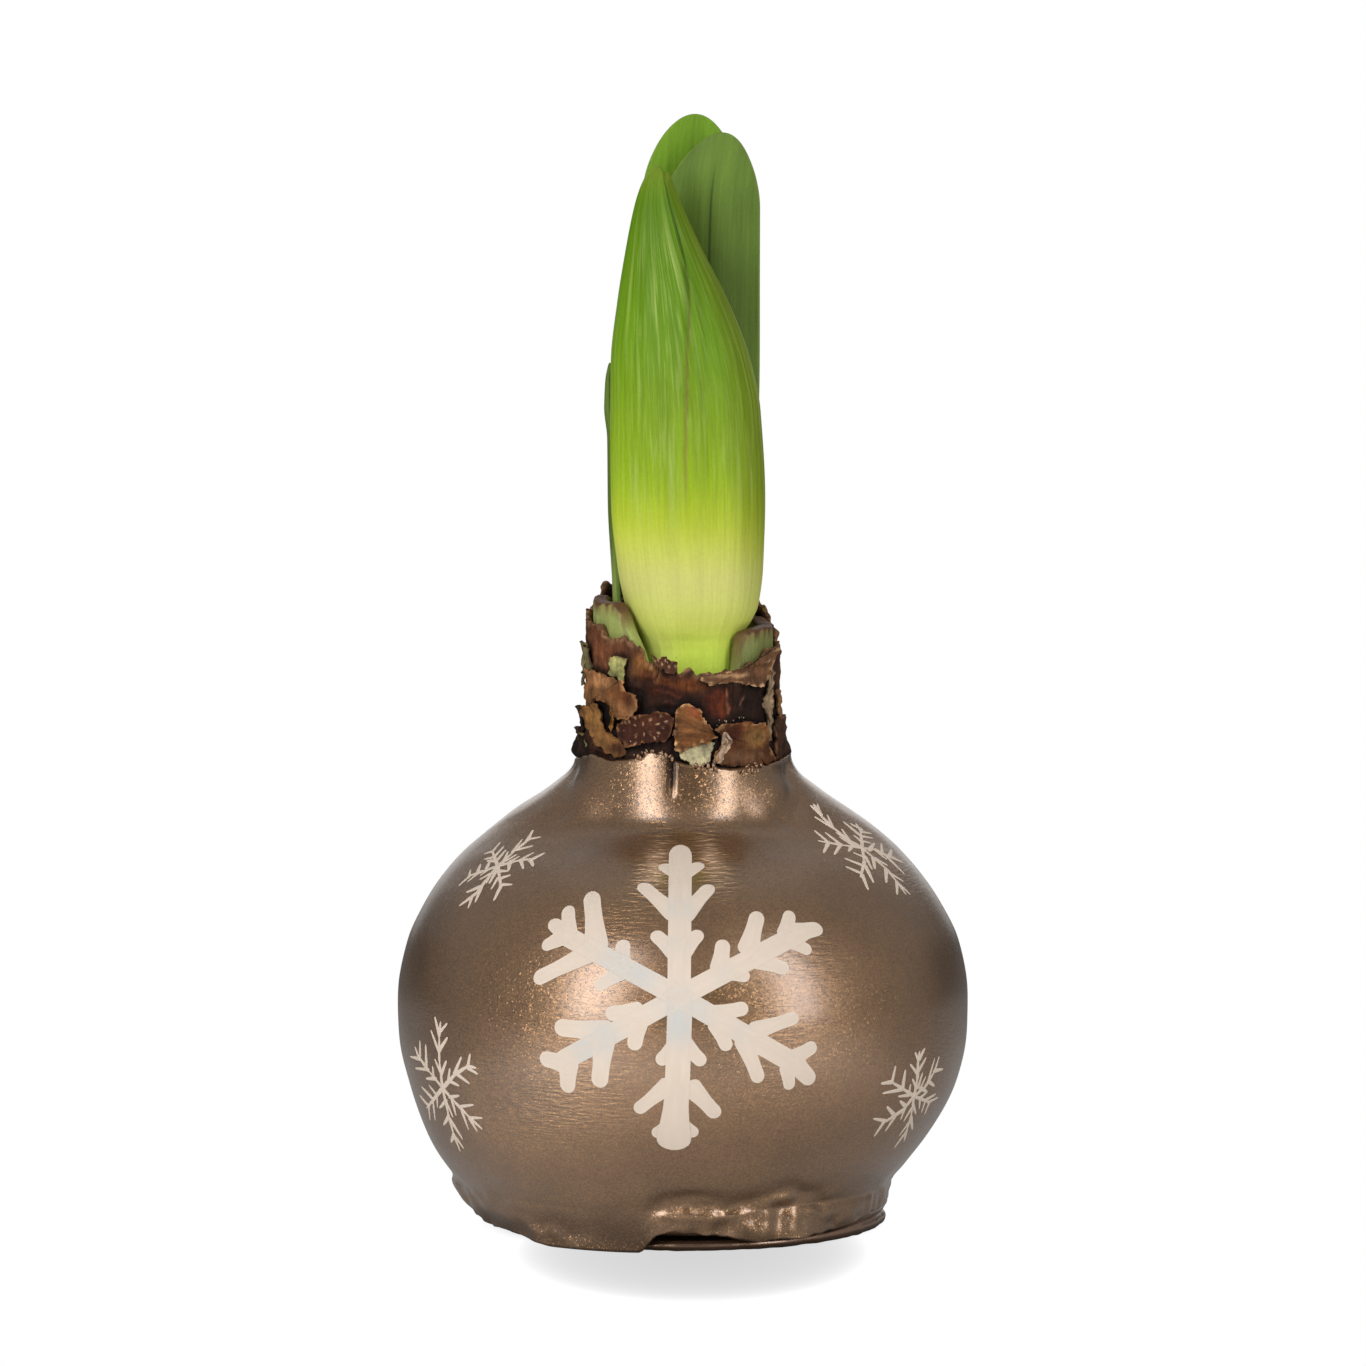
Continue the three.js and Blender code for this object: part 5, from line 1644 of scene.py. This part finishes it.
skinCrumb = crumbFinish("skinCrumb")
crumbTrail = crumbRecipe()
for name, lines, finish, slot, seed in (
        ("skinCrumbs", [onSkin(path) for path in skinCrumbPaths], skinCrumb, "dry_skin", 4),
        ("rimCrumbs", [onRim(path) for path in rimPaths], bronzeWax, "bronze_wax", 9)):
    sizes = {key: value * mm for key, value in crumbSizes[name].items()}
    crumbs = crumbTrail.run(name, threadOf(name + "Lines", lines), Seed=seed, Finish=finish, **sizes)
    place(crumbs, finish, slot)


# Flower bud in its spathe, on its scape

bud = {
    "turns": 240,
    "rings": 230,
    "y": -4.6,
    "tip": 166.9,
    "keel": 0.8,
    "shoulder": (91, 104.4),
    "seamStep": 0.3,
    "seamFrom": (110, 120),
    "groove": 0.35,
    "grooveFrom": (132, 158),
    "notch": (-2.9, 0.5, 1.0),  # x, half width, depth
    "ribs": [(0.07, 0.8, 61), (0.12, 3.2, 62, (1, 1, 3))],
    "streak": paint(170, 190, 98),
    "right": (112, 128, 30),
    "neck": (236, 240, 130),
    # neck is the pale colour of the painted light at the bud's lower left.
    "keelBrown": (150, 118, 82),
}

budRows = [  # height, left edge, right edge, half depth
    [74.0, -5.9, 8.9, 5.1], [84.0, -5.9, 8.9, 5.2], [91.0, -6.0, 9.0, 5.3], [92.6, -6.4, 9.2, 5.6],
    [94.2, -7.2, 9.8, 6.4], [95.8, -8.0, 10.8, 7.2], [98.1, -9.0, 11.8, 8.0], [104.4, -10.3, 12.6, 8.9],
    [114.6, -11.3, 12.9, 9.4], [128.7, -11.4, 12.1, 9.2], [136.5, -11.3, 10.5, 8.6], [145.9, -10.3, 7.0, 7.0],
    [154.5, -8.9, 2.7, 4.9], [161.0, -7.5, -0.3, 3.3], [164.6, -6.2, -1.7, 2.1], [166.4, -4.9, -2.4, 1.0],
]

keelRows = [  # height, azimuth of the seam
    [90, -93], [104, -93], [120, -92], [128, -90], [136, -85.5], [150, -67], [158, -58], [167, -57],
]

budTints = [  # height, red, green, blue
    [74, 176, 192, 84], [84, 186, 204, 78], [91, 190, 208, 80], [97, 206, 210, 104], [102, 208, 208, 116],
    [107, 198, 204, 88], [113, 170, 188, 46], [120, 139, 168, 30], [130, 120, 152, 26], [140, 104, 142, 18],
    [150, 94, 132, 12], [160, 88, 126, 10], [166, 119, 144, 40],
]


def budTint(height, turn, seam):  # height down the first axis, turn along the second
    right, left = np.cos(turn), -np.cos(turn)
    tint = readRows(budTints, height)[..., 1:]
    tint = towards(tint, bud["right"], softStep(right, 0.5, 0.98) * softStep(height, 90, 126) * 0.75)
    # Painted light: the left side above 100 mm and the foot below 98 mm are made lighter, and the lower left
    # is moved towards the pale neck colour against the shadow of the scale.
    lighter = 0.12 * softStep(left, 0.4, 0.95) * softStep(height, 100, 112)
    tint = tint * (1 + lighter + 0.09 * softStep(height, 98, 92))[..., None]
    tint = towards(tint, bud["neck"], softStep(left, 0.1, 0.9) * softStep(height, 99, 93) * 0.7)
    keelLine = bell(seam - 0.6, 1.3) * softStep(height, 112, 122) * softStep(height, 152, 140)
    tint = towards(tint, bud["keelBrown"], keelLine * 0.5)
    # Painted shade along the groove beside the seam, near the top.
    return tint * (1 - 0.28 * bell(seam + 2, 3) * softStep(height, 136, 150))[..., None]


def budRings():
    keys = [row[0] for row in budRows]
    height = np.interp(np.linspace(0, len(keys) - 1, bud["rings"] - 2), np.arange(len(keys)), keys)
    rows = readRows(budRows, height)
    cap = np.linspace(0, math.pi / 2, 6)[1:]
    rows = np.vstack([rows[:1], rows, np.repeat(rows[-1:], len(cap), axis=0)])
    closing = np.concatenate([[0.0], np.ones(len(height)), np.cos(cap)])[:, None]
    closing[-1] = 0
    height = np.concatenate([height[:1], height, keys[-1] + (bud["tip"] - keys[-1]) * np.sin(cap)])[:, None]
    left, right, depth = rows[:, 1:, None].transpose(1, 0, 2)
    turn = np.radians(fromBack(bud["turns"]))
    seam = aside(np.degrees(turn), readRows(keelRows, height)[..., 1])
    ridge = bud["keel"] * np.maximum(np.cos(np.radians(seam)), 0) ** 40 * softStep(height, *bud["shoulder"])
    step = np.where(seam < 0, np.exp(seam / 16), -0.6 * np.exp(-seam / 12)) * bud["seamStep"]
    step = step * softStep(height, *bud["seamFrom"])
    step = step - bud["groove"] * bell(seam + 3, 6) * softStep(height, *bud["grooveFrom"])
    skin = pointsOf(np.cos(turn) * 11, np.sin(turn) * 9, height * 0.05)
    ribs = layered(skin, bud["ribs"])
    slim = np.minimum(1, depth / 3)
    outwards = (depth + ridge + (step + ribs) * slim) * closing
    across = ((right - left) / 2 + (step * 0.5 + ribs) * slim) * closing
    x, y = (left + right) / 2 + across * np.cos(turn), bud["y"] + outwards * np.sin(turn)
    spots = pointsOf(x, y, height)
    notchAt, notchWidth, notchDepth = bud["notch"]
    notch = notchDepth * bell(spots[..., 0] - notchAt, notchWidth)
    spots[..., 2] -= notch * softStep(spots[..., 2], 163, 166.5)
    streaky = softStep(height, 104, 122) * softStep(height, 166, 150) * (0.45 + 0.55 * bell(seam + 22, 20))
    veiny = 0.3 + 0.7 * softStep(height, 100, 125)[..., None]
    return spots, budTint(height, turn, seam), skin, streaky, veiny


budSkin = plantFinish("budSkin", bud["streak"])
spots, tint, flow, streaky, veiny = budRings()
marks = plantMarks(tint, flow, veiny, streaky=streaky)
place(loft("flowerBud", spots, **marks), budSkin, "bud_green", "flower_bud")


# Leaves

# Rows of a leaf: height, x, y, half width and how far its edges bend back
leafForms = {
    "leafRight": {
        "facing": -90, "thickness": 1.5, "node": "leaf_right",
        "blade": (106, 132, 54), "rim": (140, 165, 80), "foot": (75, 105, 35),
        "rows": [
            [74, 3.0, 2.6, 5.7, 2.3], [90, 3.0, 3.0, 5.8, 2.3], [105, 3.4, 5.9, 7.0, 2.8],
            [118, 3.7, 7.0, 8.0, 3.2], [134, 4.0, 6.6, 8.2, 3.4], [150, 4.1, 4.9, 8.1, 3.2],
            [161, 4.4, 3.7, 7.8, 2.7], [167, 5.1, 3.2, 7.1, 2.0], [172.2, 6.2, 2.9, 6.2, 1.2],
        ],
    },
    "leafBack": {
        "facing": 90, "thickness": 1.5, "node": "leaf_back",
        "blade": (116, 154, 43), "rim": (140, 172, 70), "foot": (78, 115, 14),
        "rows": [
            [74, 1.4, 9.6, 5.0, 2.0], [90, 1.4, 9.7, 5.2, 2.1], [98, 1.3, 10.3, 6.0, 2.3],
            [108, 1.1, 12.6, 6.9, 2.7], [118, 1.0, 13.5, 7.6, 3.0], [134, 1.0, 13.2, 8.0, 3.2],
            [150, 1.1, 11.4, 7.9, 3.0], [163, 1.3, 9.2, 7.7, 2.5], [170.4, 1.6, 8.0, 7.1, 1.9],
            [175.2, 1.9, 7.3, 6.6, 1.1],
        ],
    },
    "leafLeft": {
        "facing": 180, "thickness": 1.1, "node": "leaf_left",
        "blade": (100, 124, 44), "rim": (120, 148, 62), "foot": (190, 205, 110),
        "rows": [
            [74, -10.3, 1.8, 3.9, 0.9], [90, -10.4, 2.2, 3.9, 0.8], [101, -10.7, 3.0, 3.9, 0.5],
            [114, -11.4, 3.6, 4.0, 0.4], [124, -11.5, 3.6, 3.8, 0.4], [129, -12.0, 3.2, 3.5, 0.3],
            [133, -11.9, 2.7, 3.2, 0.3], [136.0, -11.5, 2.3, 3.0, 0.3],
        ],
    },
}

leafSizes = {
    "turns": 160,
    "rings": 130,
    "tipLength": 12,
    "footTo": (96, 112),
    "shade": 0.88,
}


def leafTint(form, height, share, grain):  # share runs from -1 at one edge to 1 at the other
    tip = form["rows"][-1][0]
    # Painted light: the upper part of the blade is made lighter.
    lighter = 1 + 0.14 * softStep(height, tip - 28, tip - 8)
    tint = form["blade"] * (lighter * (1 + grain))[..., None]
    tint = towards(tint, form["foot"], softStep(height, *leafSizes["footTo"][::-1]))
    tint = towards(tint, form["rim"], softStep(np.abs(share), 0.93, 0.99))
    rib = bell(share, 0.025) * softStep(height, tip - 3, tip - 12)
    return tint * (1 - 0.4 * rib)[..., None]


def leafRings(form, seed):
    foot, tip = form["rows"][0][0], form["rows"][-1][0]
    rise = np.sin(np.linspace(0, 1, leafSizes["rings"]) * math.pi / 2)
    height = foot + (tip - foot) * np.concatenate([rise[:1], rise])[:, None]
    x, y, half, bend = readRows(form["rows"], height)[..., 1:].transpose(2, 0, 1)
    turn = np.arange(leafSizes["turns"]) * 2 * math.pi / leafSizes["turns"]
    tipShare = np.sqrt(1 - (1 - np.clip((tip - height) / leafSizes["tipLength"], 0, 1)) ** 2)
    tipShare[0] = 0
    share, face = np.cos(turn), np.sign(np.sin(turn)) * np.sqrt(np.abs(np.sin(turn)))
    side = share * half * tipShare
    skin = pointsOf(side, face * 2, height * 0.05)
    crease = 0.03 * bell(share, 0.05) * (face > 0) - 0.05 * bell(share, 0.08) * (face < 0)
    waves = layered(skin, [(0.1, 2.6, seed), (0.05, 0.7, seed + 1)])
    thick = form["thickness"] * np.sqrt(tipShare)
    out = face * thick / 2 - bend * (side / half) ** 2 + (waves - crease) * tipShare
    angle = math.radians(form["facing"])
    outX, outY = math.cos(angle), math.sin(angle)
    spots = pointsOf(x + outY * side + outX * out, y - outX * side + outY * out, height)
    grain = layered(skin, [(0.06, 2.0, seed + 2)]) + layered(spots, [(0.1, 9, seed + 3)])
    return spots, leafTint(form, height, share, grain), skin


leafSkin = plantFinish("leafSkin")
for number, (name, form) in enumerate(leafForms.items()):
    spots, tint, flow = leafRings(form, 70 + number * 5)
    marks = plantMarks(tint * leafSizes["shade"], flow)
    place(loft(name, spots, **marks), leafSkin, "leaf_green", form["node"])
